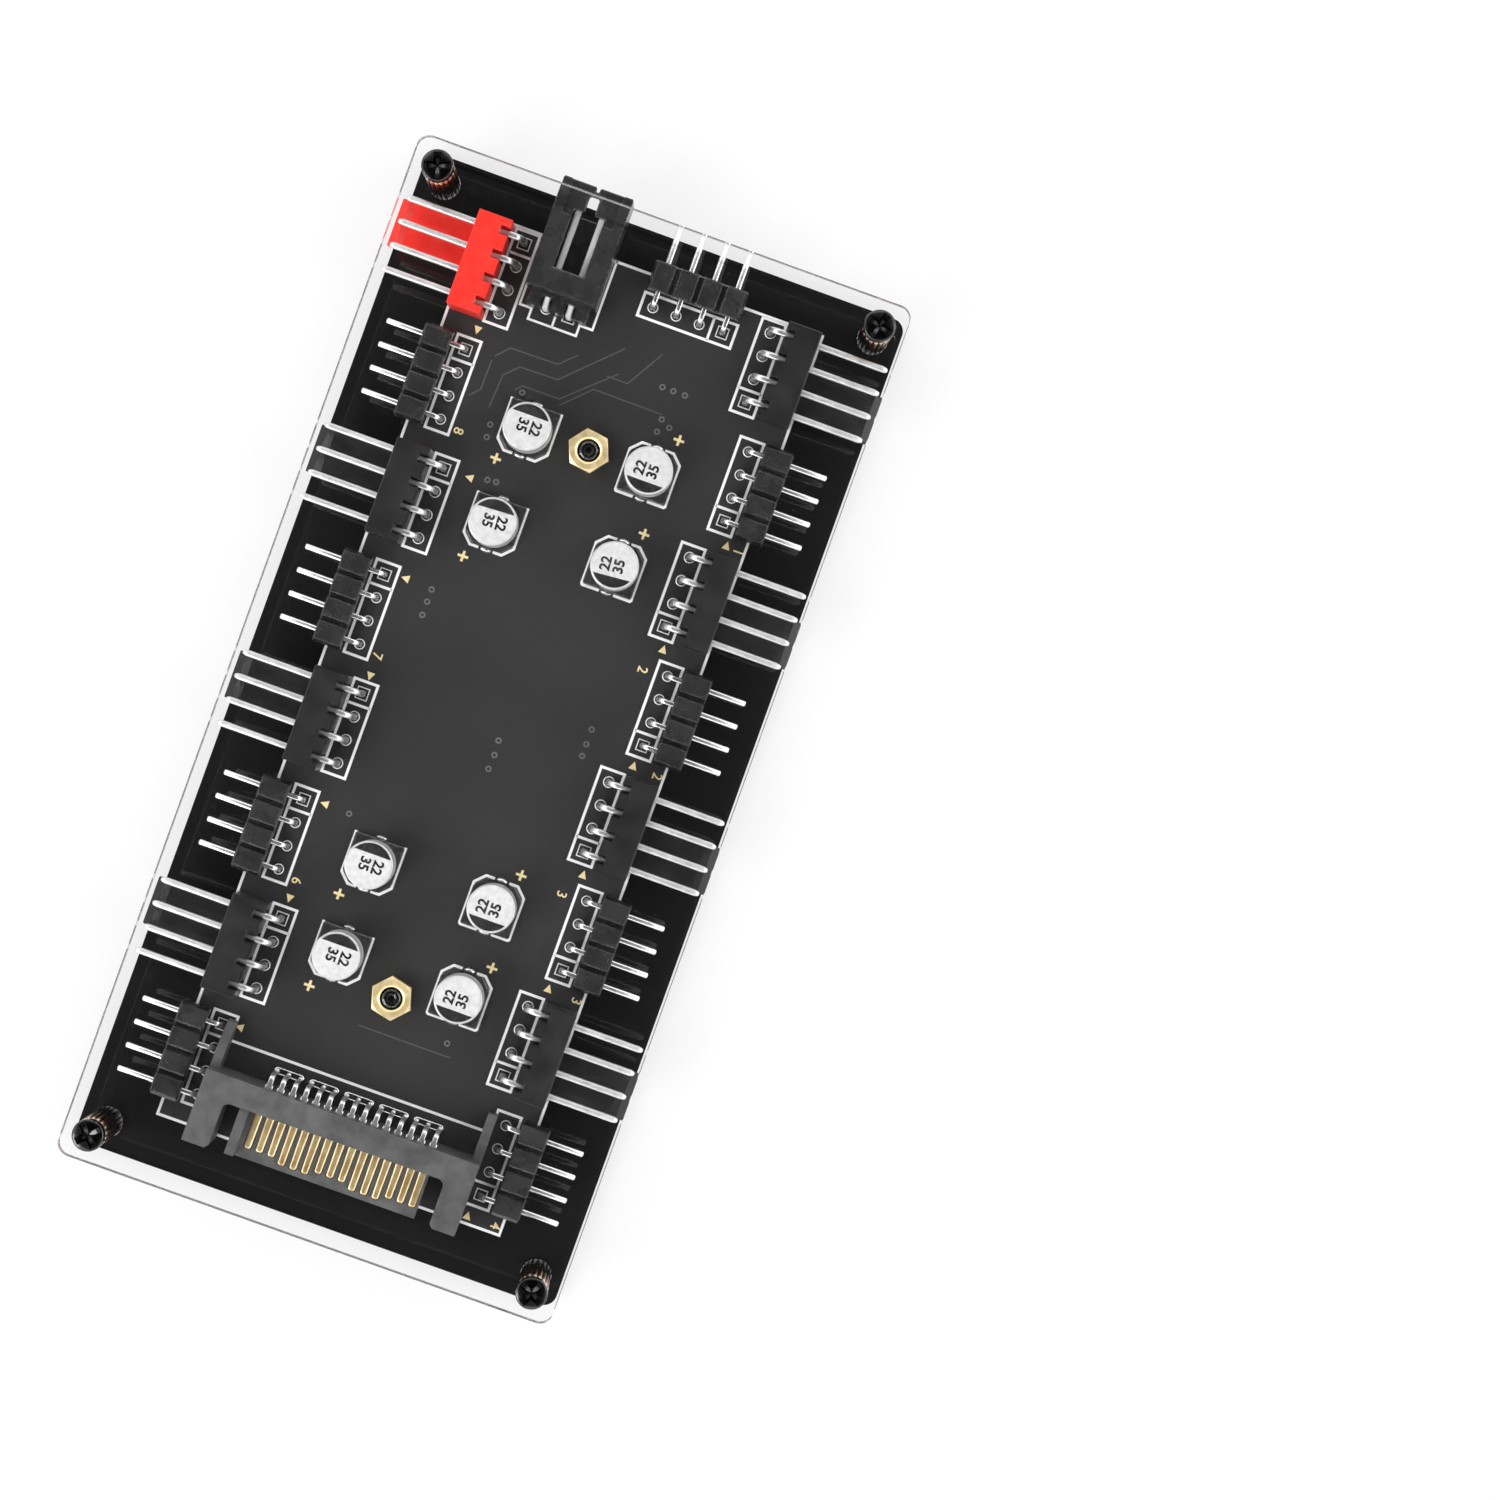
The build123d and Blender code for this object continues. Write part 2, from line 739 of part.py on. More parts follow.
with BuildPart() as underside_screws:
    with Locations((0, board_middle, sunk_recess)):
        with GridLocations(0, board_screw_spacing, 1, 2):
            add(sunk_screw())
write(underside_screws.part, "underside_screws")

with BuildPart() as board_spacers:
    with BuildSketch(Plane.XY.offset(plate_thickness)):
        with Locations((0, board_middle)):
            with GridLocations(0, board_screw_spacing, 1, 2):
                RegularPolygon(spacer_width / sqrt(3), 6)
                Circle(screw_hole / 2, mode=Mode.SUBTRACT)
    extrude(amount=spacer_height)
write(board_spacers.part, "board_spacers")

with BuildPart() as board_nuts:
    with Locations((0, board_middle, board_top)):
        with GridLocations(0, board_screw_spacing, 1, 2):
            add(hexagon_nut())
write(board_nuts.part, "board_nuts")

# Headers along the edges and the light input at the top
for places, housing_shape, pins_shape in (
    (fan_places, fan_housing(), fan_pins()),
    (rgb_places, rgb_housing(), rgb_pins()),
):
    for name, place in places.items():
        with BuildPart() as header_housing:
            with Locations(place):
                add(housing_shape)
        write(header_housing.part, f"{name}_housing")
        with BuildPart() as header_pins:
            with Locations(place):
                add(pins_shape)
        write(header_pins.part, f"{name}_pins")

# Control input and power input
for name, place, shape in (
    ("control_input_housing", control_place, control_housing()),
    ("control_input_pins", control_place, control_pins_pair()),
    ("power_input_housing", power_place, power_housing()),
    ("power_input_contacts", power_place, power_contact_set()),
):
    with BuildPart() as connector:
        with Locations(place):
            add(shape)
    write(connector.part, name)

# Capacitors: the negative end faces the inputs on the left and away from them on the right
capacitor_places = {}
for row, row_y in enumerate(capacitor_rows):
    y = board_middle + row_y
    capacitor_places[f"left_{row + 1}"] = Location((-capacitor_x, y, board_top))
    capacitor_places[f"right_{row + 1}"] = Location((capacitor_x, y, board_top), (0, 0, 180))

can_shape = capacitor_can()
for name, place in capacitor_places.items():
    with BuildPart() as can:
        with Locations(place):
            with Locations((0, 0, capacitor_base_height)):
                add(can_shape)
    write(can.part, f"capacitor_can_{name}")

for name, shape in (("capacitor_bases", capacitor_base()), ("capacitor_leads", capacitor_leads())):
    with BuildPart() as group:
        with Locations(*capacitor_places.values()):
            add(shape)
    write(group.part, name)
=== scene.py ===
"""Looks of the fan and lighting hub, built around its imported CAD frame. Sizes are in millimetres."""
import json
import math

import bmesh
import bpy
from mathutils import Matrix, Vector


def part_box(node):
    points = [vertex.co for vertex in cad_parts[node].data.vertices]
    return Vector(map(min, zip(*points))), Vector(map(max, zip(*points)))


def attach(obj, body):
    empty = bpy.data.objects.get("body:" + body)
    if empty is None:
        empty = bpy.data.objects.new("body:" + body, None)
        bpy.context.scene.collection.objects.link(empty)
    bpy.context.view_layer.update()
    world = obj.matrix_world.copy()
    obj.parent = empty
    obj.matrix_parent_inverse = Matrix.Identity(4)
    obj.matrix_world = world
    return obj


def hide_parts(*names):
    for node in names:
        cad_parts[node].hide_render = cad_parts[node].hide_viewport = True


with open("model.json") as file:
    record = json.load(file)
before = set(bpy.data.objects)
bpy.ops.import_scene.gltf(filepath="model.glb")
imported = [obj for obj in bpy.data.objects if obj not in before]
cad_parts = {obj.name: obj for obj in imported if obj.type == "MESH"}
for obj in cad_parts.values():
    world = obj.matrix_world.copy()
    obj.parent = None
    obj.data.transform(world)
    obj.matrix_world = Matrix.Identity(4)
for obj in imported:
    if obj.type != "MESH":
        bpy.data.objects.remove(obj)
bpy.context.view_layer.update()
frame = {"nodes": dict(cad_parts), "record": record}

MM = 0.001

# Camera, fitted to the photograph
CAMERA_PLACE = (16.8922, 5.9857, 427.3149)
CAMERA_FORWARD = (0.02188762, 0.00287119, -0.99975631)
CAMERA_UP = (-0.33860297, 0.94091755, -0.0047108)
CAMERA_LENS = 97.597
CAMERA_SENSOR = 36.0
CAMERA_CLIP = (10.0, 20000.0)

# Studio
FLOOR_RADIUS = 6000.0
FLOOR_DROP = 0.02
FLOOR_SEGMENTS = 64

# Sizes shared by the pin headers
PIN_PITCH = 2.54
PINS_PER_HEADER = 4
HEADER_LENGTH = PIN_PITCH * PINS_PER_HEADER
FAN_BEND = 0.95
FAN_TAPER = 0.55
LIGHT_BEND = 0.75
LIGHT_TAPER = 0.14
PIN_PARTING = -1.2  # where a fan pin's outer end and its leg meet inside the block
PIN_ROUNDING = 0.55  # share of a pin's half width
ARC_STEPS = 6

# Printed lines on the board
PRINT_BASE = 0.004
PRINT_HEIGHT = 0.02
PRINT_LINE = 0.28
EDGE_INSET = 0.03


def box_mm(node):
    """A CAD node's lowest and highest corners, in millimetres."""
    low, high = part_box(node)
    return low / MM, high / MM


def spot(x, y, turn=0):
    """A place on the hub, turned by degrees around its upright axis."""
    return Matrix.Translation((x, y, 0)) @ Matrix.Rotation(math.radians(turn), 4, "Z")


board_low, board_high = box_mm("circuit_board")
BOARD_TOP = board_high.z
PRINT_LOW = BOARD_TOP + PRINT_BASE
PRINT_TOP = PRINT_LOW + PRINT_HEIGHT


# Node materials


def start_material(name):
    """A new node material: its tree and its Principled shader."""
    material = bpy.data.materials.new(name)
    material.use_nodes = True
    tree = material.node_tree
    return material, tree, tree.nodes["Principled BSDF"]


def grey(level):
    return (level, level, level)


def feed(tree, node, sockets):
    """Links a node's sockets to other nodes' outputs, or sets them to plain values."""
    for socket, value in sockets.items():
        if isinstance(value, bpy.types.NodeSocket):
            tree.links.new(value, node.inputs[socket])
        else:
            node.inputs[socket].default_value = value


def add_node(tree, kind, sockets=None, operation=None):
    """The outputs of a new shader node, with its sockets fed."""
    node = tree.nodes.new(f"ShaderNode{kind}")
    if operation:
        node.operation = operation
    feed(tree, node, sockets or {})
    return node.outputs


NOISE_RANGE = (0.3, 0.7)  # where most of a noise's values lie


def noise(tree, grain, detail=3.0):
    """A noise that lies still on the object, with its grain in millimetres."""
    place = add_node(tree, "TexCoord")["Object"]
    return add_node(tree, "TexNoise", {"Vector": place, "Scale": 1 / (grain * MM), "Detail": detail})["Fac"]


def colour_ramp(tree, factor, stops):
    """Colours along a factor, as pairs of a place and a colour."""
    ramp = tree.nodes.new("ShaderNodeValToRGB")
    elements = ramp.color_ramp.elements
    while len(elements) < len(stops):
        elements.new(0.5)
    for element, (place, colour) in zip(elements, stops):
        element.position = place
        element.color = (*colour, 1.0)
    tree.links.new(factor, ramp.inputs["Fac"])
    return ramp.outputs["Color"]


def map_range(tree, value, source, target):
    """A value carried from one range to another."""
    names = ("Value", "From Min", "From Max", "To Min", "To Max")
    return add_node(tree, "MapRange", dict(zip(names, (value, *source, *target))))["Result"]


def upright_part(tree, vector):
    """The z of a vector."""
    return add_node(tree, "SeparateXYZ", {"Vector": vector})["Z"]


def larger(tree, first, second):
    """The larger of two values."""
    return add_node(tree, "Math", {0: first, 1: second}, "MAXIMUM")["Value"]


def mix_shaders(tree, factor, first, second):
    """Two shaders mixed by a fixed share or by a factor."""
    return add_node(tree, "MixShader", {"Fac": factor, 1: first, 2: second})["Shader"]


def show(tree, shader):
    """Makes a shader the material's surface."""
    tree.links.new(shader, tree.nodes["Material Output"].inputs["Surface"])


def bump(tree, height, depth, strength):
    """A normal bumped by a height of the given depth in millimetres."""
    return add_node(tree, "Bump", {"Strength": strength, "Distance": depth * MM, "Height": height})["Normal"]


GRAIN_STRENGTH = 0.5


def mottled(name, dark, light, grain, rough, bump_depth, bump_grain, sockets=None):
    """A surface that varies a little in colour and gloss, with a fine grain."""
    material, tree, shader = start_material(name)
    blotches = noise(tree, grain)
    feed(tree, shader, {
        "Base Color": colour_ramp(tree, blotches, list(zip(NOISE_RANGE, (dark, light)))),
        "Roughness": map_range(tree, blotches, NOISE_RANGE, rough),
        "Normal": bump(tree, noise(tree, bump_grain, detail=2.0), bump_depth, GRAIN_STRENGTH),
        **(sockets or {}),
    })
    return material


EDGE_CLEARNESS = 0.35  # how clear the cover's pale edges are
CLEAR_TILT = (0.5, 0.95)  # a face's upright share, from an edge to a clear face
CLEAR_IOR = 1.42
CLEAR_GLOSS = 0.25
SMUDGE_GRAIN = 9.0
SMUDGE_ROUGHNESS = (0.0, 0.01)
SHADE_TINT = 0.99


def clear_acrylic():
    """Clear sheet with pale edges. It lets light through, so that the board is lit as if it lay open."""
    material, tree, shader = start_material("clear_acrylic")
    normal = add_node(tree, "NewGeometry")["True Normal"]
    upright = add_node(tree, "Math", {0: upright_part(tree, normal)}, "ABSOLUTE")["Value"]
    feed(tree, shader, {
        "Base Color": (*grey(1.0), 1.0),
        "IOR": CLEAR_IOR,
        "Specular IOR Level": CLEAR_GLOSS,
        "Roughness": map_range(tree, noise(tree, SMUDGE_GRAIN), NOISE_RANGE, SMUDGE_ROUGHNESS),
        "Transmission Weight": map_range(tree, upright, CLEAR_TILT, (EDGE_CLEARNESS, 1.0)),
    })
    see_through = add_node(tree, "BsdfTransparent", {"Color": (*grey(SHADE_TINT), 1.0)})["BSDF"]
    path = add_node(tree, "LightPath")
    either = larger(tree, path["Is Shadow Ray"], path["Is Diffuse Ray"])
    show(tree, mix_shaders(tree, either, shader.outputs["BSDF"], see_through))
    return material


STANDOFF_TOP = box_mm("corner_standoffs")[1].z
TARNISH_GRAIN = 0.8
TARNISH_ROUGHNESS = (0.2, 0.34)
# Painted light, from foot to top: painted shade near black at the foot and over the lower pillar, and a
# painted highlight at the top ring
STANDOFF_PAINTED_LIGHT = [  # from foot to top
    (0.0, (0.012, 0.006, 0.005)),
    (0.45, (0.035, 0.014, 0.010)),
    (0.92, (0.30, 0.13, 0.07)),
    (0.985, (0.92, 0.74, 0.55)),
]


def standoff_brass():
    """Brass with painted light by height: a painted highlight at its top, and painted shade that darkens it
    through copper to near black lower down.
    """
    material, tree, shader = start_material("standoff_brass")
    z = upright_part(tree, add_node(tree, "TexCoord")["Object"])
    height = map_range(tree, z, (0.0, STANDOFF_TOP * MM), (0.0, 1.0))
    feed(tree, shader, {
        "Base Color": colour_ramp(tree, height, STANDOFF_PAINTED_LIGHT),
        "Roughness": map_range(tree, noise(tree, TARNISH_GRAIN), NOISE_RANGE, TARNISH_ROUGHNESS),
        "Metallic": 1.0,
    })
    return material


STRIPE_PITCH = 0.44
STRIPE_WAVER = 0.4
STRIPE_ROUGHNESS = 0.5
STRIPE_COLOURS = [(0.3, grey(0.02)), (0.8, grey(0.09))]


def striped_plastic():
    """Dark moulded plastic with fine slanting lines, between the power contacts."""
    material, tree, shader = start_material("striped_plastic")
    wave = tree.nodes.new("ShaderNodeTexWave")
    wave.bands_direction = "DIAGONAL"
    place = add_node(tree, "TexCoord")["Object"]
    feed(tree, wave, {"Vector": place, "Scale": 1 / (STRIPE_PITCH * MM), "Distortion": STRIPE_WAVER})
    colour = colour_ramp(tree, wave.outputs["Fac"], STRIPE_COLOURS)
    feed(tree, shader, {"Base Color": colour, "Roughness": STRIPE_ROUGHNESS})
    return material


MASK_AREAS = 16.0  # breadth of the copper areas under the mask
MASK_STOPS = (0.35, 0.65)
MASK_PEEL = 0.35
MASK_BUMP = (0.006, 0.4)  # depth and strength
MASK_ROUGHNESS = (0.4, 0.5)
MASK_GLOSS = 0.3


def board_mask(name, dark, light):
    """Matt black solder mask: broad darker and lighter copper areas under a fine orange peel."""
    material, tree, shader = start_material(name)
    areas = noise(tree, MASK_AREAS, detail=1.0)
    peel = noise(tree, MASK_PEEL, detail=2.0)
    feed(tree, shader, {
        "Base Color": colour_ramp(tree, areas, list(zip(MASK_STOPS, (dark, light)))),
        "Roughness": map_range(tree, peel, NOISE_RANGE, MASK_ROUGHNESS),
        "Normal": bump(tree, peel, *MASK_BUMP),
        "Specular IOR Level": MASK_GLOSS,
    })
    return material


# Surfaces: darker and lighter colour, grain, roughness, depth and grain of the bump, other sockets
METAL = {"Metallic": 1.0}
DULL_METAL = {"Metallic": 0.7}
PALE_METAL = {"Metallic": 0.3}
SURFACES = {
    "black_acrylic": (grey(0.010), grey(0.013), 12.0, (0.03, 0.06), 0.001, 3.0, {"IOR": 1.49}),
    "black_screw": (grey(0.055), grey(0.08), 0.5, (0.1, 0.14), 0.0003, 0.2, METAL),
    "spacer_nylon": (grey(0.024), grey(0.034), 0.6, (0.45, 0.6), 0.01, 0.15),
    "nut_brass": ((0.86, 0.66, 0.32), (0.95, 0.79, 0.47), 0.7, (0.34, 0.46), 0.002, 0.12, METAL),
    "header_red": ((0.80, 0.018, 0.010), (0.88, 0.030, 0.017), 1.4, (0.34, 0.46), 0.008, 0.12),
    "header_black": (grey(0.010), grey(0.017), 2.4, (0.24, 0.3), 0.001, 0.12, {"Specular IOR Level": 1.0}),
    "fan_block_black": (grey(0.009), grey(0.016), 2.4, (0.28, 0.36), 0.001, 0.12),
    "connector_grey": (grey(0.056), grey(0.105), 1.8, (0.36, 0.46), 0.005, 0.12),
    "contact_gold": ((0.62, 0.45, 0.22), (0.84, 0.67, 0.38), 1.3, (0.3, 0.34), 0.0003, 0.3, METAL),
    "can_aluminium": (grey(0.64), grey(0.77), 0.5, (0.46, 0.58), 0.003, 0.1, DULL_METAL),
    "pin_tin": (grey(0.84), grey(0.93), 0.9, (0.17, 0.25), 0.0006, 0.2, METAL),
    "fan_pin_tin": (grey(0.72), grey(0.80), 0.9, (0.36, 0.46), 0.0006, 0.2, METAL),
    "pin_leg_tin": (grey(0.78), grey(0.88), 0.9, (0.28, 0.34), 0.0006, 0.2, METAL),
    # the control input's pins: tin made paler and nearly matt, a painted highlight that lifts them out of
    # the shade inside the shroud
    "inner_pin_painted_light": (grey(0.92), grey(0.97), 0.9, (0.4, 0.5), 0.0006, 0.2, {"Metallic": 0.1}),
    "pad_tin": (grey(0.84), grey(0.94), 0.5, (0.46, 0.56), 0.001, 0.2, DULL_METAL),
    "print_white": (grey(0.86), grey(0.92), 0.4, (0.55, 0.65), 0.004, 0.08),
    "print_gold": ((0.84, 0.67, 0.32), (0.93, 0.79, 0.46), 0.4, (0.4, 0.55), 0.004, 0.08, PALE_METAL),
    "solder": (grey(0.82), grey(0.93), 0.5, (0.22, 0.34), 0.004, 0.25, METAL),
}
BOARD_MASKS = {
    "circuit_board": (grey(0.018), grey(0.024)),
    "raised_mask": (grey(0.065), grey(0.085)),
    # via rims: the copper ring under the mask, lightened further as a painted highlight
    "via_mask_and_highlight": (grey(0.11), grey(0.16)),
}
materials = {name: mottled(name, *values) for name, values in SURFACES.items()}
materials.update((name, board_mask(name, *colours)) for name, colours in BOARD_MASKS.items())
materials["clear_acrylic"] = clear_acrylic()
materials["standoff_brass"] = standoff_brass()
materials["striped_plastic"] = striped_plastic()


# Mesh helpers, all in millimetres


def add_object(name, data):
    """A new object in the scene."""
    made = bpy.data.objects.new(name, data)
    bpy.context.scene.collection.objects.link(made)
    return made


def mesh_object(name, mesh_data, material):
    """Turns a bmesh in millimetres into an object."""
    bmesh.ops.scale(mesh_data, vec=(MM, MM, MM), verts=mesh_data.verts)
    mesh = bpy.data.meshes.new(name)
    mesh_data.to_mesh(mesh)
    mesh_data.free()
    mesh.materials.append(material)
    return add_object(name, mesh)


def finish_piece(name, mesh_data, slot, replaced=(), sharp=35.0, finish=None):
    """Turns a bmesh into a piece of the hub, with its slot's surface or another one."""
    bmesh.ops.remove_doubles(mesh_data, verts=mesh_data.verts, dist=1e-4)
    bmesh.ops.recalc_face_normals(mesh_data, faces=mesh_data.faces)
    for face in mesh_data.faces:
        face.smooth = True
    piece = mesh_object(name, mesh_data, materials[finish or slot])
    piece.data.set_sharp_from_angle(angle=math.radians(sharp))
    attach(piece, "root")
    for node in replaced:
        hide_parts(node)


def add_loft(mesh_data, rings, capped=True):
    """Joins closed rings of equally many points by faces, with a cap at each end."""
    made = [[mesh_data.verts.new(point) for point in ring] for ring in rings]
    for lower, upper in zip(made, made[1:]):
        for k in range(len(lower)):
            after = (k + 1) % len(lower)
            mesh_data.faces.new((lower[k], lower[after], upper[after], upper[k]))
    if capped:
        mesh_data.faces.new(list(reversed(made[0])))
        mesh_data.faces.new(made[-1])


MITRE_LIMIT = 0.3  # keeps the mitre of a sharp corner short


def offset_outline(points, distance):
    """A closed outline moved inwards, its corners mitred. The points run counter-clockwise."""
    moved = []
    for k, point in enumerate(points):
        before = (point - points[k - 1]).normalized()
        after = (points[(k + 1) % len(points)] - point).normalized()
        across = Vector((-before.y - after.y, before.x + after.x)).normalized()
        reach = distance / max(MITRE_LIMIT, across.dot(Vector((-before.y, before.x))))
        moved.append(point + across * reach)
    return moved


def add_plate(mesh_data, outline, low, high, place=Matrix()):
    """A flat plate on an outline."""
    add_loft(mesh_data, [[place @ Vector((*p, z)) for p in outline] for z in (low, high)])


def add_line(mesh_data, points, width, place=Matrix(), closed=False):
    """A printed line along points, mitred at its corners."""
    points = [Vector(p) for p in points]
    count = len(points)
    rings = []
    for k, point in enumerate(points):
        before = point - points[k - 1] if closed or k else points[1] - point
        after = points[(k + 1) % count] - point if closed or k < count - 1 else before
        before, after = before.normalized(), after.normalized()
        across = Vector((-before.y - after.y, before.x + after.x)).normalized()
        reach = across * (width / 2 / max(MITRE_LIMIT, across.dot(Vector((-before.y, before.x)))))
        left, right = point + reach, point - reach
        corners = ((left, PRINT_LOW), (left, PRINT_TOP), (right, PRINT_TOP), (right, PRINT_LOW))
        rings.append([place @ Vector((p.x, p.y, z)) for p, z in corners])
    if closed:
        rings.append(rings[0])
    add_loft(mesh_data, rings, capped=not closed)


def add_lathe(mesh_data, profile, place=Matrix(), segments=32):
    """Turns a profile of radius and height around z. A radius of 0 is a pole."""
    rings = []
    for radius, z in profile:
        ring = []
        for k in range(segments if radius else 1):
            angle = 2 * math.pi * k / segments
            point = Vector((radius * math.cos(angle), radius * math.sin(angle), z))
            ring.append(mesh_data.verts.new(place @ point))
        rings.append(ring)
    for lower, upper in zip(rings, rings[1:]):
        for k in range(segments):
            corners = [lower[i % len(lower)] for i in (k, k + 1)]
            corners += [upper[i % len(upper)] for i in (k + 1, k)]
            mesh_data.faces.new(list(dict.fromkeys(corners)))


# A ring's profile, in shares of its half width and height
RING = ((1, 0), (2 / 3, 0.8), (0, 1), (-2 / 3, 0.8), (-1, 0), (1, 0))


def add_ring(mesh_data, inner, outer, height, place, segments=28):
    """A low rounded ring on the board."""
    middle, half = (inner + outer) / 2, (outer - inner) / 2
    profile = [(middle + half * across, BOARD_TOP + height * up) for across, up in RING]
    add_lathe(mesh_data, profile, place, segments)


RIM = ((0, 0), (0.2, 0.8), (0.5, 1.0), (0.8, 0.8), (1.0, 0), (0, 0))  # shares of its width and height


def add_rim(mesh_data, outline, width, height, place):
    """A low rounded rim on the board, inwards from a closed outline."""
    points = [Vector(p) for p in outline]
    rings = []
    for across, up in RIM:
        ring = offset_outline(points, width * across)
        rings.append([place @ Vector((p.x, p.y, BOARD_TOP + height * up)) for p in ring])
    add_loft(mesh_data, rings, capped=False)


# A drop's profile, in shares of its radius and height
BLOB = [(0.0, 0.0), (1.0, 0.0), (0.93, 0.3), (0.72, 0.68), (0.4, 0.92), (0.0, 1.0)]


def add_blob(mesh_data, place, wide, long, height):
    """A drop of solder on the board."""
    shape = place @ Matrix.Translation((0, 0, BOARD_TOP)) @ Matrix.Diagonal((wide, long, height, 1))
    add_lathe(mesh_data, BLOB, shape, segments=20)


def rounded_square(half, rounding, steps=3):
    """Points round a square section with rounded corners."""
    radius = half * rounding
    points = []
    for corner in range(4):
        turn = corner * math.pi / 2
        middle = Vector((half - radius, half - radius))
        for step in range(steps + 1):
            angle = step * math.pi / 2 / steps
            point = middle + radius * Vector((math.cos(angle), math.sin(angle)))
            points.append(Matrix.Rotation(turn, 2) @ point)
    return points


def add_wire(mesh_data, route, section, place):
    """Sweeps a section along a route in the x-z plane.

    A route point is x, z and the section's shares of width and height there.
    """
    rings = []
    for k, (x, z, wide, high) in enumerate(route):
        x0, z0 = route[max(0, k - 1)][:2]
        x1, z1 = route[min(len(route) - 1, k + 1)][:2]
        along = Vector((x1 - x0, 0, z1 - z0)).normalized()
        across = Vector((0, 1, 0))
        up = across.cross(along)
        middle = Vector((x, 0, z))
        rings.append([place @ (middle + across * p.x * wide + up * p.y * high) for p in section])
    add_loft(mesh_data, rings)


# A pin's tip, in shares of its taper's length and of its width
PIN_TIP = ((0, 0.42), (0.12, 0.6), (0.4, 0.82), (1.0, 1.0))
TAIL_TAPER = 0.25
TAIL_TIP = 0.6


def round_bend(x, height, bend):
    """Route points of a bend, from level at the given height to straight down at x."""
    for step in range(ARC_STEPS + 1):
        angle = step * math.pi / 2 / ARC_STEPS
        yield x + bend - bend * math.sin(angle), height - bend + bend * math.cos(angle), 1.0, 1.0


def bent_route(tip, height, pad, tail, bend, taper):
    """A pin's route: tapered tip, straight run, round bend and tail through the board."""
    route = [(tip - taper * share, height, size, size) for share, size in PIN_TIP]
    route += round_bend(pad, height, bend)
    return route + [(pad, tail + TAIL_TAPER, 1.0, 1.0), (pad, tail, TAIL_TIP, TAIL_TIP)]


def add_number(mesh_data, text, height, low, thickness, place, weight=0.0):
    """A plain number, centred in its place, as thin raised print."""
    curve = bpy.data.curves.new("number", "FONT")
    curve.body = text
    curve.align_x = "CENTER"
    curve.align_y = "CENTER"
    curve.resolution_u = 3
    curve.offset = weight
    carrier = bpy.data.objects.new("number", curve)
    flat = bpy.data.meshes.new_from_object(carrier)
    tall = max(v.co.y for v in flat.vertices) - min(v.co.y for v in flat.vertices)
    letters = bmesh.new()
    letters.from_mesh(flat)
    bmesh.ops.remove_doubles(letters, verts=letters.verts, dist=1e-5)
    made = bmesh.ops.extrude_face_region(letters, geom=letters.faces[:])
    raised = [v for v in made["geom"] if isinstance(v, bmesh.types.BMVert)]
    scale = height / tall
    for vert in letters.verts:
        vert.co = Vector((vert.co.x * scale, vert.co.y * scale, low))
    for vert in raised:
        vert.co.z = low + thickness
    bmesh.ops.transform(letters, matrix=place, verts=letters.verts)
    joined = bpy.data.meshes.new("number")
    letters.to_mesh(joined)
    letters.free()
    mesh_data.from_mesh(joined)
    for leftover in (flat, joined):
        bpy.data.meshes.remove(leftover)
    bpy.data.objects.remove(carrier)
    bpy.data.curves.remove(curve)


# Header frames: x points out over the board's edge, z = 0 is the frame's own zero height


def header_place(node):
    """Where a header stands, by its pins.

    Gives the frame's matrix, its pins' tip, pad, width, height and tail, and their places along the header.
    """
    low, high = box_mm(node)
    middle = (low + high) / 2
    if "_left_" in node:
        place = spot(board_low.x, middle.y, 180)
        tip, inner = board_low.x - low.x, high.x - board_low.x
        length = high.y - low.y
    elif "_right_" in node:
        place = spot(board_high.x, middle.y)
        tip, inner = high.x - board_high.x, board_high.x - low.x
        length = high.y - low.y
    else:
        place = spot(middle.x, board_high.y, 90)
        tip, inner = high.y - board_high.y, board_high.y - low.y
        length = high.x - low.x
    pins = round(length / PIN_PITCH) + 1
    width = length - (pins - 1) * PIN_PITCH
    return {
        "node": node,
        "place": place,
        "tip": tip,
        "pad": width / 2 - inner,
        "width": width,
        "height": high.z - width / 2,
        "tail": low.z,
        "rows": [(k - (pins - 1) / 2) * PIN_PITCH for k in range(pins)],
    }


headers = [header_place(node) for node in sorted(frame["nodes"]) if node.endswith("_pins")]
headers_by_node = {header["node"]: header for header in headers}


def add_pins(name, header, route, section, replaced=(), finish=None):
    """One piece of a header's pins, all along the same route."""
    mesh_data = bmesh.new()
    for y in header["rows"]:
        add_wire(mesh_data, route, section, header["place"] @ spot(0, y))
    finish_piece(name, mesh_data, "pin_tin", replaced, finish=finish)


def make_pins(header):
    """Square pins with rounded edges and bends, in the place of a header's plain ones."""
    node = header["node"]
    is_light = node.startswith("rgb")
    bend, taper = (LIGHT_BEND, LIGHT_TAPER) if is_light else (FAN_BEND, FAN_TAPER)
    section = rounded_square(header["width"] / 2, PIN_ROUNDING)
    route = bent_route(header["tip"], header["height"], header["pad"], header["tail"], bend, taper)
    name = node.replace("_pins", "_bright_pins")
    if is_light or node == "control_input_pins":
        # The control input's pins take a paler tin: painted light against the shade inside the shroud
        add_pins(name, header, route, section, [node], None if is_light else "inner_pin_painted_light")
        return
    parting = (PIN_PARTING, header["height"], 1.0, 1.0)
    tip_end = sum(1 for x, *_ in route if x > PIN_PARTING)
    add_pins(name, header, route[:tip_end] + [parting], section, [node], "fan_pin_tin")
    legs = node.replace("_pins", "_pin_legs")
    add_pins(legs, header, [parting] + route[tip_end:], section, finish="pin_leg_tin")


for header in headers:
    make_pins(header)


# Pads round the pins: rings, and a square frame at each first pin

PAD_RING = 0.12
PAD_ROOM = 0.16  # between a pin and its pad's ring
PAD_HEIGHT = 0.07
PAD_SQUARE = 0.06  # by how much a square frame is wider than a ring


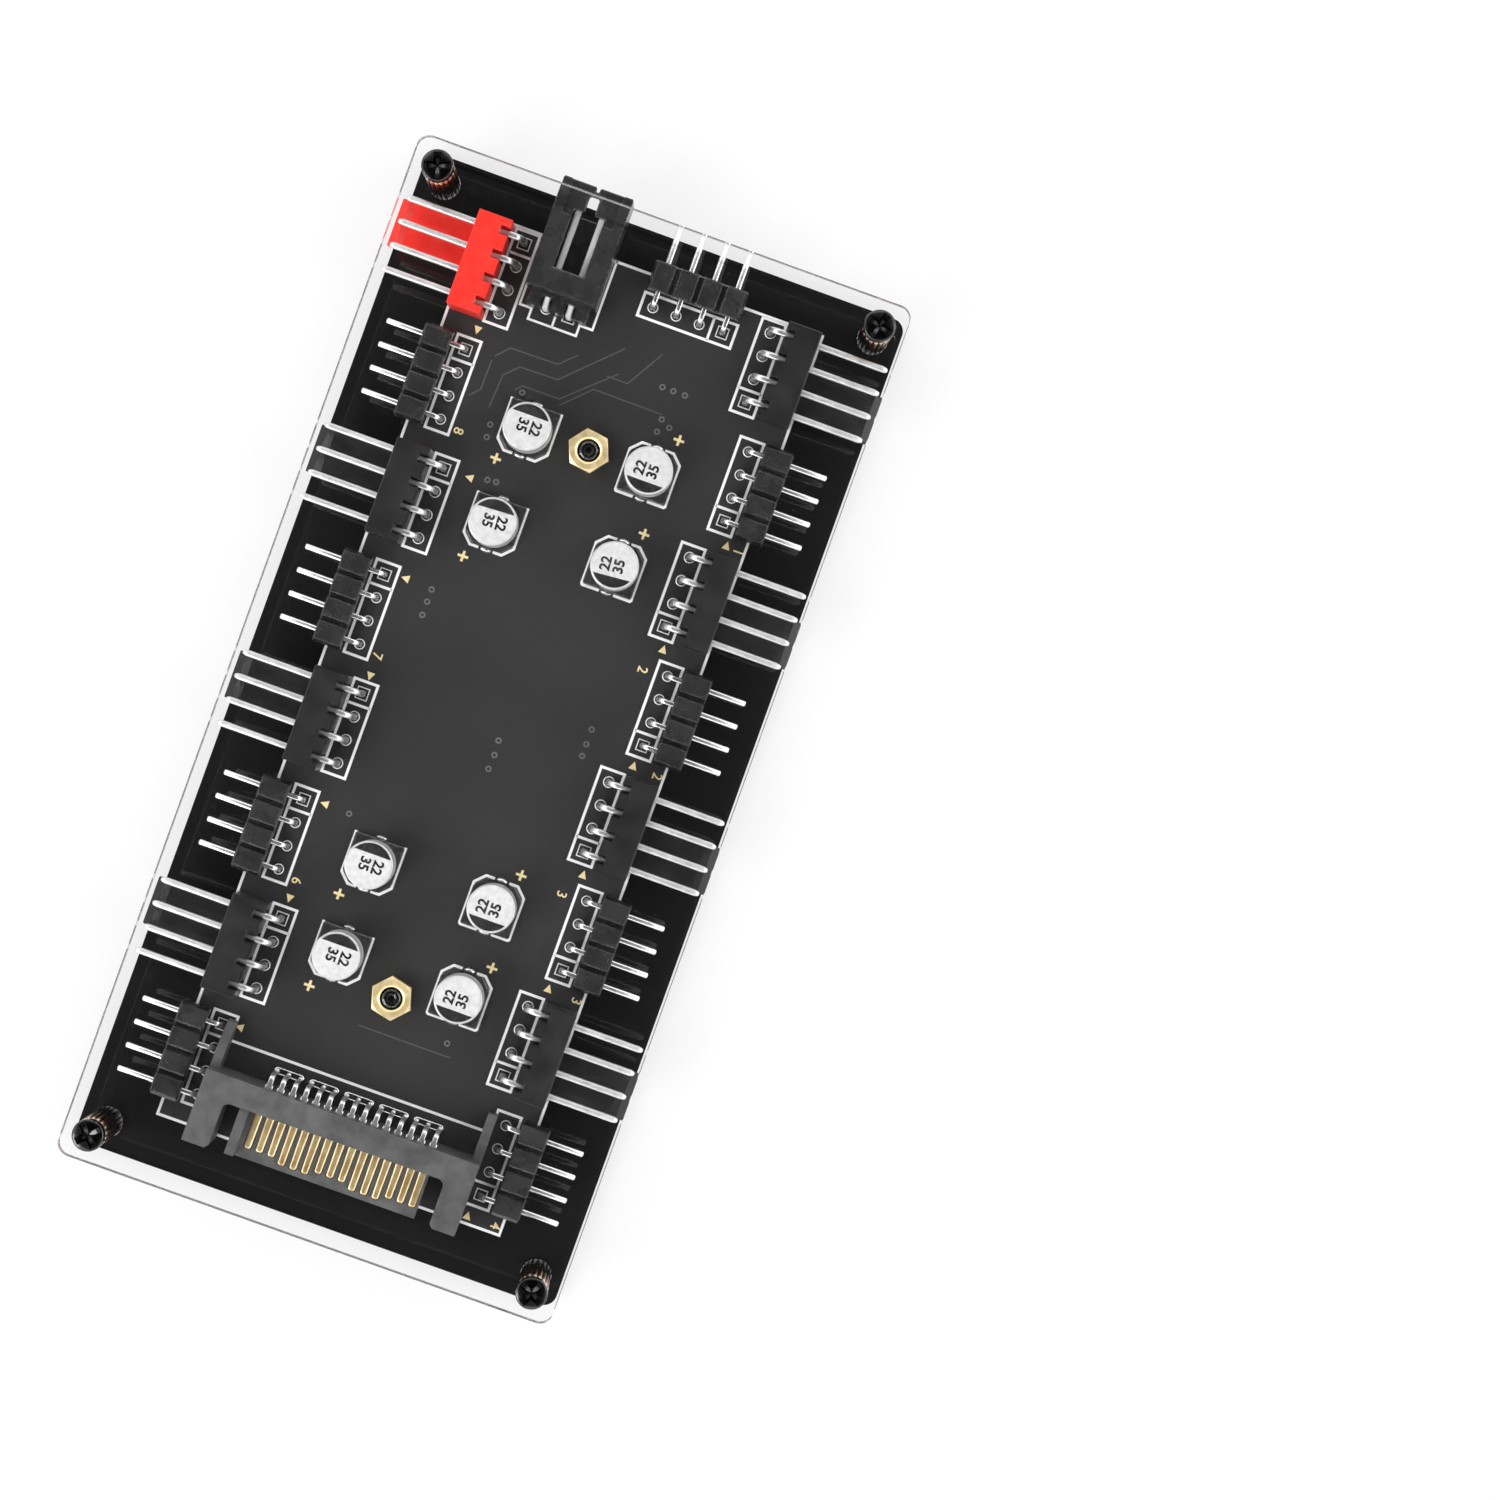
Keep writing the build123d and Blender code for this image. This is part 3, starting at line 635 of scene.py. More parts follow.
def make_pads():
    """A ring round each pin, and a square frame round each header's first one."""
    mesh_data = bmesh.new()
    for header in headers:
        inner = header["width"] / 2 + PAD_ROOM
        for k, y in enumerate(header["rows"]):
            place = header["place"] @ spot(header["pad"], y)
            if k == 0:
                side = inner + PAD_RING + PAD_SQUARE
                square = [(-side, -side), (side, -side), (side, side), (-side, side)]
                add_rim(mesh_data, square, PAD_RING, PAD_HEIGHT, place)
            else:
                add_ring(mesh_data, inner, inner + PAD_RING, PAD_HEIGHT, place)
    finish_piece("pin_pads", mesh_data, "solder", finish="pad_tin")


make_pads()


# White print


def add_header_print(mesh_data, header):
    """A box round a header's pads, with the first pin's cell divided off."""
    near, far = header["pad"] - PIN_PITCH / 2, header["pad"] + PIN_PITCH / 2
    half = HEADER_LENGTH / 2
    divider = -half + PIN_PITCH
    place = header["place"]
    box = [(near, -half), (far, -half), (far, half), (near, half)]
    add_line(mesh_data, box, PRINT_LINE, place, closed=True)
    add_line(mesh_data, [(near, divider), (far, divider)], PRINT_LINE, place)


def add_board_edge(mesh_data):
    """The pale line just inside the board's edge."""
    inset = PRINT_LINE / 2 + EDGE_INSET
    x, head, foot = board_high.x - inset, board_high.y - inset, board_low.y + inset
    add_line(mesh_data, [(-x, foot), (x, foot), (x, head), (-x, head)], PRINT_LINE, closed=True)


CONTROL_LINE = 0.24
CONTROL_BOX = (-11.85, -3.9, 42.45)  # left, right and back of the control input's outline
CONTROL_TAB = (-10.55, -5.3, 41.3)
CONTROL_DIVIDER = -7.95


def add_control_print(mesh_data):
    """The control input's outline, with a divided tab behind its legs."""
    left, right, back = CONTROL_BOX
    tab_left, tab_right, tab_back = CONTROL_TAB
    outline = [(left, board_high.y), (left, back), (tab_left, back), (tab_left, tab_back)]
    outline += [(tab_right, tab_back), (tab_right, back), (right, back), (right, board_high.y)]
    add_line(mesh_data, outline, CONTROL_LINE)
    add_line(mesh_data, [(CONTROL_DIVIDER, back), (CONTROL_DIVIDER, tab_back)], CONTROL_LINE)


POWER_LINE_Y = -39.1
POWER_LINE_INSET = (1.0, 0.9)  # from the housing's left and right


def add_power_print(mesh_data):
    low, high = box_mm("power_input_housing")
    left, right = low.x + POWER_LINE_INSET[0], high.x - POWER_LINE_INSET[1]
    add_line(mesh_data, [(left, POWER_LINE_Y), (right, POWER_LINE_Y)], PRINT_LINE)


CAPACITOR_OUTLINE = 2.72  # half the outline's width
CAPACITOR_OUTLINE_LENGTH = 2.8  # half its length
CAPACITOR_BEVEL = 1.0
CAPACITOR_CORNER = 0.12
CAPACITOR_GAP = 0.78  # half the gap in an end line, where a lead is soldered


def capacitor_places():
    """Each can's node with a frame whose -y points to its positive end."""
    for node in sorted(frame["nodes"]):
        if node.startswith("capacitor_can_"):
            low, high = box_mm(node)
            middle = (low + high) / 2
            yield node, spot(middle.x, middle.y, 0 if "_left_" in node else 180)


def add_capacitor_print(mesh_data, place, square_end):
    """An outline with two bevelled corners, open at the leads, with or without its square end."""
    wide, long, bevel, gap = CAPACITOR_OUTLINE, CAPACITOR_OUTLINE_LENGTH, CAPACITOR_BEVEL, CAPACITOR_GAP
    corner = CAPACITOR_CORNER
    for side in (-1, 1):
        points = [
            (side * wide, long - corner),
            (side * wide, -long + bevel),
            (side * (wide - bevel), -long),
            (side * gap, -long),
        ]
        if square_end:
            points = [(side * gap, long), (side * (wide - corner), long)] + points
        add_line(mesh_data, points, PRINT_LINE, place)


def make_white_print():
    mesh_data = bmesh.new()
    for header in headers:
        if header["node"] != "control_input_pins":
            add_header_print(mesh_data, header)
    add_board_edge(mesh_data)
    add_control_print(mesh_data)
    add_power_print(mesh_data)
    for node, place in capacitor_places():
        add_capacitor_print(mesh_data, place, "_right_" in node)
    finish_piece("white_print", mesh_data, "print_white")


make_white_print()


# Gold marks: arrows at the first pins, plus signs at the capacitors, and plain port numbers

ARROW = 0.86
PLUS_REACH = 0.57
PLUS_WIDTH = 0.27
# Arrow places with the way they point, in degrees
ARROWS = [
    (-15.03, 38.39, -90), (-10.72, 23.83, 180), (-13.39, 11.82, 180), (-13.36, 1.05, -90),
    (-13.35, -12.88, 180), (-13.42, -23.32, -90), (-13.8, -37.51, 180), (16.67, 26.26, 90),
    (14.14, 13.97, 90), (15.32, 1.62, 90), (14.24, -10.72, 90), (14.85, -23.0, 90), (14.91, -47.88, 90),
]
PLUS_PLACES = [
    (-8.79, 26.61), (-8.56, 15.98), (-8.78, -21.14), (-8.45, -31.05),
    (8.36, 34.78), (8.25, 24.45), (8.25, -12.99), (8.65, -23.01),
]
PORT_NUMBER_HEIGHT = 1.05
PORT_NUMBER_WEIGHT = 0.008
LEFT_LIGHT_NUMBER = (5.45, -4.33)  # from the board's edge and the header's middle
RIGHT_LIGHT_NUMBER = (0.9, -6.3)
RIGHT_FAN_NUMBER = (6.05, -8.75)


def port_numbers():
    """Plain numbers beside the ports: text and place."""
    for row in range(1, 5):
        left = headers_by_node[f"rgb_header_left_{row}_pins"]["place"].translation
        right = headers_by_node[f"rgb_header_right_{row}_pins"]["place"].translation
        yield str(9 - row), left.x + LEFT_LIGHT_NUMBER[0], left.y + LEFT_LIGHT_NUMBER[1]
        yield str(row), right.x - RIGHT_LIGHT_NUMBER[0], right.y + RIGHT_LIGHT_NUMBER[1]
    for row in (2, 3):
        fan = headers_by_node[f"fan_header_right_{row}_pins"]["place"].translation
        yield str(row), fan.x - RIGHT_FAN_NUMBER[0], fan.y + RIGHT_FAN_NUMBER[1]


def make_gold_marks():
    mesh_data = bmesh.new()
    half = ARROW / 2
    arrow = [(-half, -half), (half, 0), (-half, half)]
    for x, y, way in ARROWS:
        add_plate(mesh_data, arrow, PRINT_LOW, PRINT_TOP, spot(x, y, way))
    r, w = PLUS_REACH, PLUS_WIDTH / 2
    plus = [
        (r, -w), (r, w), (w, w), (w, r), (-w, r), (-w, w),
        (-r, w), (-r, -w), (-w, -w), (-w, -r), (w, -r), (w, -w),
    ]
    for x, y in PLUS_PLACES:
        add_plate(mesh_data, plus, PRINT_LOW, PRINT_TOP, spot(x, y))
    for text, x, y in port_numbers():
        place = spot(x, y, -90)
        add_number(mesh_data, text, PORT_NUMBER_HEIGHT, PRINT_LOW, PRINT_HEIGHT, place, PORT_NUMBER_WEIGHT)
    finish_piece("gold_marks", mesh_data, "print_gold")


make_gold_marks()


# Copper tracks and vias, raised a little under the solder mask

TRACK = 0.13
TRACKS = [
    [(-12.45, 36.52), (-11.2, 37.85), (-6.04, 37.92), (-4.38, 39.55)],
    [(-11.22, 31.36), (-11.0, 34.96), (-9.65, 36.33), (-5.52, 36.43), (-0.05, 41.82)],
    [(-9.35, 33.92), (-8.73, 34.58), (-4.7, 34.61), (0.16, 39.11)],
    [(-4.49, 33.99), (-1.7, 36.75), (5.82, 36.7)],
    [(-13.6, 31.79), (-12.66, 32.81), (-12.6, 36.0)],
    [(-2.33, -33.2), (7.72, -33.2)],
    [(-0.87, 38.5), (1.39, 38.5), (3.77, 42.57)],
]
VIAS = [
    (4.9, 39.38), (6.08, 39.37), (7.37, 39.36), (-8.52, 33.92), (-10.5, 29.71), (-10.4, 28.37),
    (-8.85, 24.23), (-7.92, 24.33), (1.34, -0.68), (1.44, -2.23), (1.34, -3.78), (-10.43, 11.65),
    (-10.43, 10.31), (-10.44, 8.86), (-10.59, -12.99), (5.95, 36.22), (6.98, 35.67), (5.92, 34.85),
    (6.93, -31.89), (9.99, 3.64), (9.99, 2.03), (9.98, 0.75),
]
VIA_HOLE, VIA_EDGE, VIA_HEIGHT = 0.17, 0.33, 0.05
VIA_SEGMENTS = 16


def make_raised_mask():
    """Tracks that show as fine ridges in the mask."""
    mesh_data = bmesh.new()
    for route in TRACKS:
        add_line(mesh_data, route, TRACK)
    finish_piece("raised_tracks", mesh_data, "circuit_board", finish="raised_mask")


def make_vias():
    mesh_data = bmesh.new()
    for x, y in VIAS:
        add_ring(mesh_data, VIA_HOLE, VIA_EDGE, VIA_HEIGHT, spot(x, y), VIA_SEGMENTS)
    # Rims lighter than the mask: partly the copper ring beneath it, partly a painted highlight
    finish_piece("via_rims", mesh_data, "circuit_board", finish="via_mask_and_highlight")


make_raised_mask()
make_vias()


# Capacitor cans with their crimp groove, and the black segment and numbers on top

CAN_SEGMENTS = 64
CAN_STEPS = 6
CAN_FOOT_EDGE = 0.15
CAN_RIM = 0.14
CAN_LIP = 0.05  # width and depth of the fine groove inside the rim
CAN_FACE = 2.32  # radius of the flat top inside the rim's groove
CAN_DROP = 0.03  # keeps the marks below the plain can's top
CAN_GROOVE = (0.75, 1.3, 0.2)  # lower and upper edge above the can's foot, and depth
SEGMENT_START = 0.52  # share of the segment's radius where it starts
SEGMENT_INSET = 0.04
SEGMENT_STEPS = 20
MARK_HEIGHT = 0.015


def can_profile(radius, low, high):
    """A drawn can: crimped above its base, with a rounded rim and a fine groove inside it."""
    groove_low, groove_high, groove = low + CAN_GROOVE[0], low + CAN_GROOVE[1], CAN_GROOVE[2]
    foot = CAN_FOOT_EDGE
    profile = [(0, low), (radius - foot, low), (radius, low + foot), (radius, groove_low)]
    for step in range(1, CAN_STEPS):
        share = step / CAN_STEPS
        depth = groove * math.sin(math.pi * share)
        profile.append((radius - depth, groove_low + (groove_high - groove_low) * share))
    profile.append((radius, groove_high))
    for step in range(CAN_STEPS):
        angle = step * math.pi / 2 / (CAN_STEPS - 1)
        inset, drop = CAN_RIM * (1 - math.cos(angle)), CAN_RIM * (1 - math.sin(angle))
        profile.append((radius - inset, high - drop))
    profile += [(CAN_FACE + CAN_LIP, high - CAN_LIP), (CAN_FACE, high), (0, high)]
    return profile


def make_cans():
    for node, place in capacitor_places():
        low, high = box_mm(node)
        radius = (high.x - low.x) / 2
        mesh_data = bmesh.new()
        add_lathe(mesh_data, can_profile(radius, low.z, high.z - CAN_DROP), place, CAN_SEGMENTS)
        finish_piece(node.replace("can", "drawn_can"), mesh_data, "can_aluminium", [node])


def add_segment(mesh_data, radius, low, place):
    """The black segment at a can's negative end."""
    start = math.asin(SEGMENT_START)
    outline = []
    for step in range(SEGMENT_STEPS + 1):
        angle = start + (math.pi - 2 * start) * step / SEGMENT_STEPS
        outline.append((radius * math.cos(angle), radius * math.sin(angle)))
    add_plate(mesh_data, outline, low, low + MARK_HEIGHT, place)


CAN_NUMBERS = (("22", 0.88), ("35", -0.5))
CAN_NUMBER_HEIGHT = 1.12
CAN_NUMBER_WEIGHT = 0.03
CAN_TURNS = {"capacitor_can_left_2": 3, "capacitor_can_right_2": 5}  # degrees


def make_can_marks():
    for node, place in capacitor_places():
        top = box_mm(node)[1].z - CAN_DROP
        mesh_data = bmesh.new()
        place = place @ spot(0, 0, CAN_TURNS.get(node, 0))
        add_segment(mesh_data, CAN_FACE - SEGMENT_INSET, top, place)
        for text, x in CAN_NUMBERS:
            turned = place @ spot(x, 0, -90)
            add_number(mesh_data, text, CAN_NUMBER_HEIGHT, top, MARK_HEIGHT, turned, CAN_NUMBER_WEIGHT)
        finish_piece(node.replace("can", "marks"), mesh_data, "header_black")


# Solder on the leads: the can's end, and half the width, half the length and the height of the drop
LEAD_SOLDER = ((-1, 0.62, 0.31, 0.28), (1, 0.62, 0.22, 0.24))


def make_lead_solder():
    """Drops of solder on the leads, larger at the positive end."""
    mesh_data = bmesh.new()
    for _, place in capacitor_places():
        for end, *size in LEAD_SOLDER:
            add_blob(mesh_data, place @ spot(0, end * CAPACITOR_OUTLINE_LENGTH), *size)
    finish_piece("lead_solder", mesh_data, "solder")


make_cans()
make_can_marks()
make_lead_solder()


# Power contacts: gold blades on the tongue, tinned legs behind the bar, solder in groups of three

CONTACTS = 15
CONTACT_PITCH = 1.27
CONTACT_GROUP = 3
CONTACT_WIDTH = 0.8
CONTACT_THICKNESS = 0.25
CONTACT_PROUD = 0.1
CONTACT_STEP = 0.5
CONTACT_CORNER = 0.14
CONTACT_END = 0.34  # half the width at a contact's end
CONTACT_EDGE = (0.13, 0.06)  # width and height of the slanted edges
CONTACT_TUCK = 0.2  # how far a blade runs into the bar
STRIP_SIDE = 0.04  # between a strip and the blades
STRIP_END = 0.1
STRIP_TUCK = 0.05
STRIP_HEIGHT = 0.03
LEG_WIDTH = 0.5
LEG_BEND = 0.6
LEG_FLARE = 1.6  # share of the leg's width where it leaves the bar
LEG_FLARE_ENDS = (0.25, 0.3)  # behind the bar, where the leg starts and stops narrowing
LEG_TUCK = 1.0
LEG_TAPER = 0.2
LEG_TIP = (0.6, 0.8)  # shares of width and thickness
LEG_ROUNDING = 0.35
BAR_FRONT = 5.0  # measured from the wing tips
BAR_BACK = 7.7
contacts_low, contacts_high = box_mm("power_input_contacts")
housing_low = box_mm("power_input_housing")[0]
contact_x = (contacts_low.x + contacts_high.x) / 2
leg_y = contacts_high.y - CONTACT_THICKNESS / 2


def contact_rows():
    """Each contact's x and the y of its end."""
    for index in range(CONTACTS):
        is_long = index // CONTACT_GROUP % 2 == 1
        x = contact_x + (index - (CONTACTS - 1) / 2) * CONTACT_PITCH
        yield x, contacts_low.y + (0 if is_long else CONTACT_STEP)


def make_contact_blades():
    """Tapered gold blades with slanted edges, in the place of the plain contacts."""
    mesh_data = bmesh.new()
    half, end_half, corner = CONTACT_WIDTH / 2, CONTACT_END, CONTACT_CORNER
    front = housing_low.y + BAR_FRONT + CONTACT_TUCK
    inset, drop = CONTACT_EDGE
    low, high = contacts_high.z - CONTACT_THICKNESS, contacts_high.z
    for x, end in contact_rows():
        outline = [(x - end_half + corner, end), (x + end_half - corner, end), (x + end_half, end + corner)]
        outline += [(x + half, front), (x - half, front), (x - end_half, end + corner)]
        points = [Vector(p) for p in outline]
        levels = [(points, low), (points, high - drop), (offset_outline(points, inset), high)]
        add_loft(mesh_data, [[Vector((p.x, p.y, z)) for p in ring] for ring, z in levels])
    finish_piece("power_contact_blades", mesh_data, "contact_gold", ["power_input_contacts"], sharp=15.0)


def make_contact_strips():
    """Striped plastic between the contacts."""
    mesh_data = bmesh.new()
    rows = list(contact_rows())
    low = contacts_high.z - CONTACT_PROUD
    front = housing_low.y + BAR_FRONT + STRIP_TUCK
    side = CONTACT_WIDTH / 2 + STRIP_SIDE
    for (x0, end0), (x1, end1) in zip(rows, rows[1:]):
        end = min(end0, end1) + STRIP_END
        outline = [(x0 + side, end), (x1 - side, end), (x1 - side, front), (x0 + side, front)]
        add_plate(mesh_data, outline, low, low + STRIP_HEIGHT)
    finish_piece("contact_strips", mesh_data, "connector_grey", finish="striped_plastic")


def make_contact_legs():
    """Flat legs that leave the bar, bend down and pass through the board."""
    mesh_data = bmesh.new()
    height = contacts_high.z - CONTACT_THICKNESS / 2
    bar_back = housing_low.y + BAR_BACK
    half_wide, half_thick = LEG_WIDTH / 2, CONTACT_THICKNESS / 2
    section = [Vector((p.x * half_wide, p.y * half_thick)) for p in rounded_square(1.0, LEG_ROUNDING)]
    start = leg_y - bar_back
    route = [
        (start + LEG_TUCK, height, LEG_FLARE, 1.0),
        (start - LEG_FLARE_ENDS[0], height, LEG_FLARE, 1.0),
        (start - LEG_FLARE_ENDS[1], height, 1.0, 1.0),
        *round_bend(0, height, LEG_BEND),
        (0, contacts_low.z + LEG_TAPER, 1.0, 1.0),
        (0, contacts_low.z, *LEG_TIP),
    ]
    for x, _ in contact_rows():
        add_wire(mesh_data, route, section, spot(x, leg_y, -90))
    finish_piece("power_contact_legs", mesh_data, "pin_tin", finish="pin_leg_tin")


SOLDER_LENGTH = 1.62  # half the length and half the width of the solder that joins a group's legs
SOLDER_WIDTH = 0.37
SOLDER_SHIFT = 0.12
SOLDER_RIM = (0.14, 0.12)  # width and height
SOLDER_DROP = (0.26, 0.2, 0.22)


def stadium(half_length, half_width, steps=8):
    """A bar's outline with round ends, counter-clockwise."""
    points = []
    for side in (0, math.pi):
        middle = Vector(((half_length - half_width) * math.cos(side), 0))
        for step in range(steps + 1):
            angle = side - math.pi / 2 + math.pi * step / steps
            points.append(middle + half_width * Vector((math.cos(angle), math.sin(angle))))
    return points


def make_contact_solder():
    """The solder behind the bar: a rim round each group of legs and a drop at each leg."""
    mesh_data = bmesh.new()
    rows = [x for x, _ in contact_rows()]
    for group in range(CONTACTS // CONTACT_GROUP):
        x = rows[group * CONTACT_GROUP + CONTACT_GROUP // 2]
        place = spot(x, leg_y + SOLDER_SHIFT)
        add_rim(mesh_data, stadium(SOLDER_LENGTH, SOLDER_WIDTH), *SOLDER_RIM, place)
    for x in rows:
        add_blob(mesh_data, spot(x, leg_y + SOLDER_SHIFT), *SOLDER_DROP)
    finish_piece("contact_solder", mesh_data, "solder")


make_contact_blades()
make_contact_strips()
make_contact_legs()
make_contact_solder()


# Fasteners: ridged standoffs, cross-head screws, nuts and the screw ends inside them

CROSS_STEPS = 4
CROSS_REACH = 1.3
CROSS_HALF = 0.34
CROSS_EDGE = 0.05
CROSS_SINK = 0.06
# Reach, half width and depth inside the cross
CROSS_LEVELS = ((1.18, 0.25, 0.62), (0.55, 0.2, 0.68), (0.12, 0.04, 0.92))
COVER_HEAD = 3.3
HEAD_EDGE = 1.5  # radius where the head's round edge meets its low dome
HEAD_DOME = 0.2
HEAD_ROUND = 0.3
HEAD_STEPS = 4
DOME_SHARES = (0.35, 0.7, 1.0)  # rings from the dome's edge to the cross
SCREW_RADIUS = 1.0
THREAD_PITCH = 0.4
THREAD_DEPTH = 0.1
SCREW_TURNS = {(-1, 1): 18, (1, 1): -17, (-1, -1): 45, (1, -1): -28}


def cross_outline(reach, half):
    """Points round a cross, evenly on its twelve edges."""
    corners = []
    for turn in range(4):
        quarter = Matrix.Rotation(turn * math.pi / 2, 2)
        corners += [quarter @ Vector(p) for p in ((reach, -half), (reach, half), (half, half))]
    points = []
    for k, start in enumerate(corners):
        end = corners[(k + 1) % len(corners)]
        points += [start.lerp(end, step / CROSS_STEPS) for step in range(CROSS_STEPS)]
    return points


def add_screw(mesh_data, radius, seat, top, foot, place):
    """A pan-head screw with a cross recess, and its thread below."""
    def dome(points, sunk=0.0):
        return [Vector((p.x, p.y, top - HEAD_DOME * (p.length / radius) ** 2 - sunk)) for p in points]

    def level(points, z):
        return [Vector((p.x, p.y, z)) for p in points]

    mouth = cross_outline(CROSS_REACH + CROSS_EDGE, CROSS_HALF + CROSS_EDGE)
    around = [p.normalized() for p in mouth]
    edge = dome([p * HEAD_EDGE for p in around])
    rim = edge[0].z - HEAD_ROUND
    rings = [level([p * radius for p in around], seat)]
    for step in range(HEAD_STEPS):
        angle = step * math.pi / 2 / HEAD_STEPS
        size = HEAD_EDGE + (radius - HEAD_EDGE) * math.cos(angle)
        rings.append(level([p * size for p in around], rim + HEAD_ROUND * math.sin(angle)))
    rings.append(edge)
    for share in DOME_SHARES:
        rings.append(dome([(p * HEAD_EDGE).lerp(q, share) for p, q in zip(around, mouth)]))
    rings.append(dome(cross_outline(CROSS_REACH, CROSS_HALF), CROSS_SINK))
    for reach, half, depth in CROSS_LEVELS:
        rings.append(level(cross_outline(reach, half), top - depth))
    add_loft(mesh_data, [[place @ point for point in ring] for ring in rings])
    thread = [(0, foot), (SCREW_RADIUS - THREAD_DEPTH, foot)]
    z = foot + THREAD_PITCH / 2
    while z < seat:
        thread += [(SCREW_RADIUS, z), (SCREW_RADIUS - THREAD_DEPTH, min(seat, z + THREAD_PITCH / 2))]
        z += THREAD_PITCH
    add_lathe(mesh_data, thread + [(0, seat)], place, segments=24)


def make_cover_screws():
    """Cross-head screws, each turned as it happens to sit."""
    low, high = box_mm("cover_screws")
    seat = box_mm("cover_plate")[1].z
    radius = COVER_HEAD / 2
    mesh_data = bmesh.new()
    for (side_x, side_y), turn in SCREW_TURNS.items():
        x, y = side_x * (high.x - radius), side_y * (high.y - radius)
        add_screw(mesh_data, radius, seat, high.z, low.z, spot(x, y, turn))
    finish_piece("crosshead_screws", mesh_data, "black_screw", ["cover_screws"])


STANDOFF_RIDGES = 18
STANDOFF_RADIUS = 1.6
STANDOFF_BORE = 1.03
STANDOFF_FOOT_EDGE = 0.15
STANDOFF_HEAD_EDGE = 0.17
RIDGE_DEPTH = 0.16
RIDGE_STEPS = 6


def ridged_ring(radius, z, place):
    """A ring whose radius swells into rounded ridges."""
    count = STANDOFF_RIDGES * RIDGE_STEPS
    points = []
    for k in range(count):
        angle = 2 * math.pi * k / count
        depth = RIDGE_DEPTH * abs(math.sin(STANDOFF_RIDGES * angle / 2)) ** 3
        size = min(radius, STANDOFF_RADIUS - depth)
        points.append(place @ Vector((size * math.cos(angle), size * math.sin(angle), z)))
    return points


def make_standoffs():
    low, high = box_mm("corner_standoffs")
    mesh_data = bmesh.new()
    for side_x, side_y in SCREW_TURNS:
        x, y = side_x * (high.x - STANDOFF_RADIUS), side_y * (high.y - STANDOFF_RADIUS)
        levels = [
            (STANDOFF_BORE, low.z),
            (STANDOFF_RADIUS - STANDOFF_FOOT_EDGE, low.z),
            (STANDOFF_RADIUS, low.z + STANDOFF_FOOT_EDGE),
            (STANDOFF_RADIUS, high.z - STANDOFF_HEAD_EDGE),
            (STANDOFF_RADIUS - STANDOFF_HEAD_EDGE, high.z),
            (STANDOFF_BORE, high.z),
            (STANDOFF_BORE, low.z),
        ]
        add_loft(mesh_data, [ridged_ring(r, z, spot(x, y)) for r, z in levels], capped=False)
    finish_piece("ridged_standoffs", mesh_data, "standoff_brass", ["corner_standoffs"])


NUT_HALF = 2.0  # half the width across the flats
NUT_FACE = 1.93
NUT_MOUTH = 1.41
NUT_HOLE = 1.2
NUT_STEPS = 8
NUT_SINK = 0.1  # depth of the countersunk mouth
NUT_CORNER_DROP = 0.6  # how steeply the turned-off corners fall
NUT_TURNS = (-13, -8)  # lower and upper nut


def add_nut(mesh_data, low, high, place):
    """A hexagon nut with corners turned off, a round face and a countersunk mouth."""
    corner = Vector((NUT_HALF * 2 / math.sqrt(3), 0))
    outline = []
    for side in range(6):
        start, end = (Matrix.Rotation((side + k) * math.pi / 3, 2) @ corner for k in (0, 1))
        outline += [start.lerp(end, step / NUT_STEPS) for step in range(NUT_STEPS)]
    around = [p.normalized() for p in outline]
    rings = [[(p, low) for p in outline]]
    rings.append([(p, high - (p.length - NUT_FACE) * NUT_CORNER_DROP) for p in outline])
    for radius, z in ((NUT_FACE, high), (NUT_MOUTH, high), (NUT_HOLE, high - NUT_SINK), (NUT_HOLE, low)):
        rings.append([(p * radius, z) for p in around])
    rings.append(rings[0])
    add_loft(mesh_data, [[place @ Vector((p.x, p.y, z)) for p, z in ring] for ring in rings], capped=False)


# A screw's dimpled end: radius, and height above the plain screw's end
SCREW_END = (
    (0, -0.2), (0.96, -0.2), (0.96, 0.01), (0.74, 0.12), (0.6, 0.12), (0.4, 0.03), (0.2, 0.01), (0, 0.01),
)


def make_nuts():
    low, high = box_mm("board_nuts")
    nuts, ends = bmesh.new(), bmesh.new()
    end_low = box_mm("underside_screws")[1].z
    profile = [(radius, end_low + rise) for radius, rise in SCREW_END]
    x = (low.x + high.x) / 2
    for turn, y in zip(NUT_TURNS, (low.y + NUT_HALF, high.y - NUT_HALF)):
        add_nut(nuts, low.z, high.z, spot(x, y, turn))
        add_lathe(ends, profile, spot(x, y))
    finish_piece("hexagon_nuts", nuts, "nut_brass", ["board_nuts"], sharp=20.0)
    finish_piece("screw_ends", ends, "black_screw")


make_standoffs()
make_cover_screws()
make_nuts()


# CAD nodes: finish by their slots, with softened edges on the moulded and turned pieces

EDGE_WIDTH = {
    "header_black": 0.13,
    "header_red": 0.09,
    "connector_grey": 0.12,
    "black_screw": 0.07,
    "clear_acrylic": 0.06,
}
FLAT_EDGES = ("header_black",)
EDGE_ANGLE = 40.0  # edges sharper than this are rounded
WELD_REACH = 0.001


def dress_node(node, slot):
    """Gives a CAD node its material and, where its slot asks for it, rounded edges."""
    piece = frame["nodes"][node]
    piece.data.materials.clear()
    is_fan_block = slot == "header_black" and node.startswith("fan_header")
    piece.data.materials.append(materials["fan_block_black" if is_fan_block else slot])
    width = EDGE_WIDTH.get(slot)
    if not width:
        return
    weld = piece.modifiers.new("weld", "WELD")
    weld.merge_threshold = WELD_REACH * MM
    bevel = piece.modifiers.new("edges", "BEVEL")
    bevel.width = width * MM
    bevel.segments = 1 if slot in FLAT_EDGES else 2
    bevel.limit_method = "ANGLE"
    bevel.angle_limit = math.radians(EDGE_ANGLE)
    bevel.harden_normals = slot not in FLAT_EDGES


for subpart in frame["record"]["subparts"]:
    dress_node(subpart["node"], subpart["material_slot"])


# Studio: floor, soft light and camera

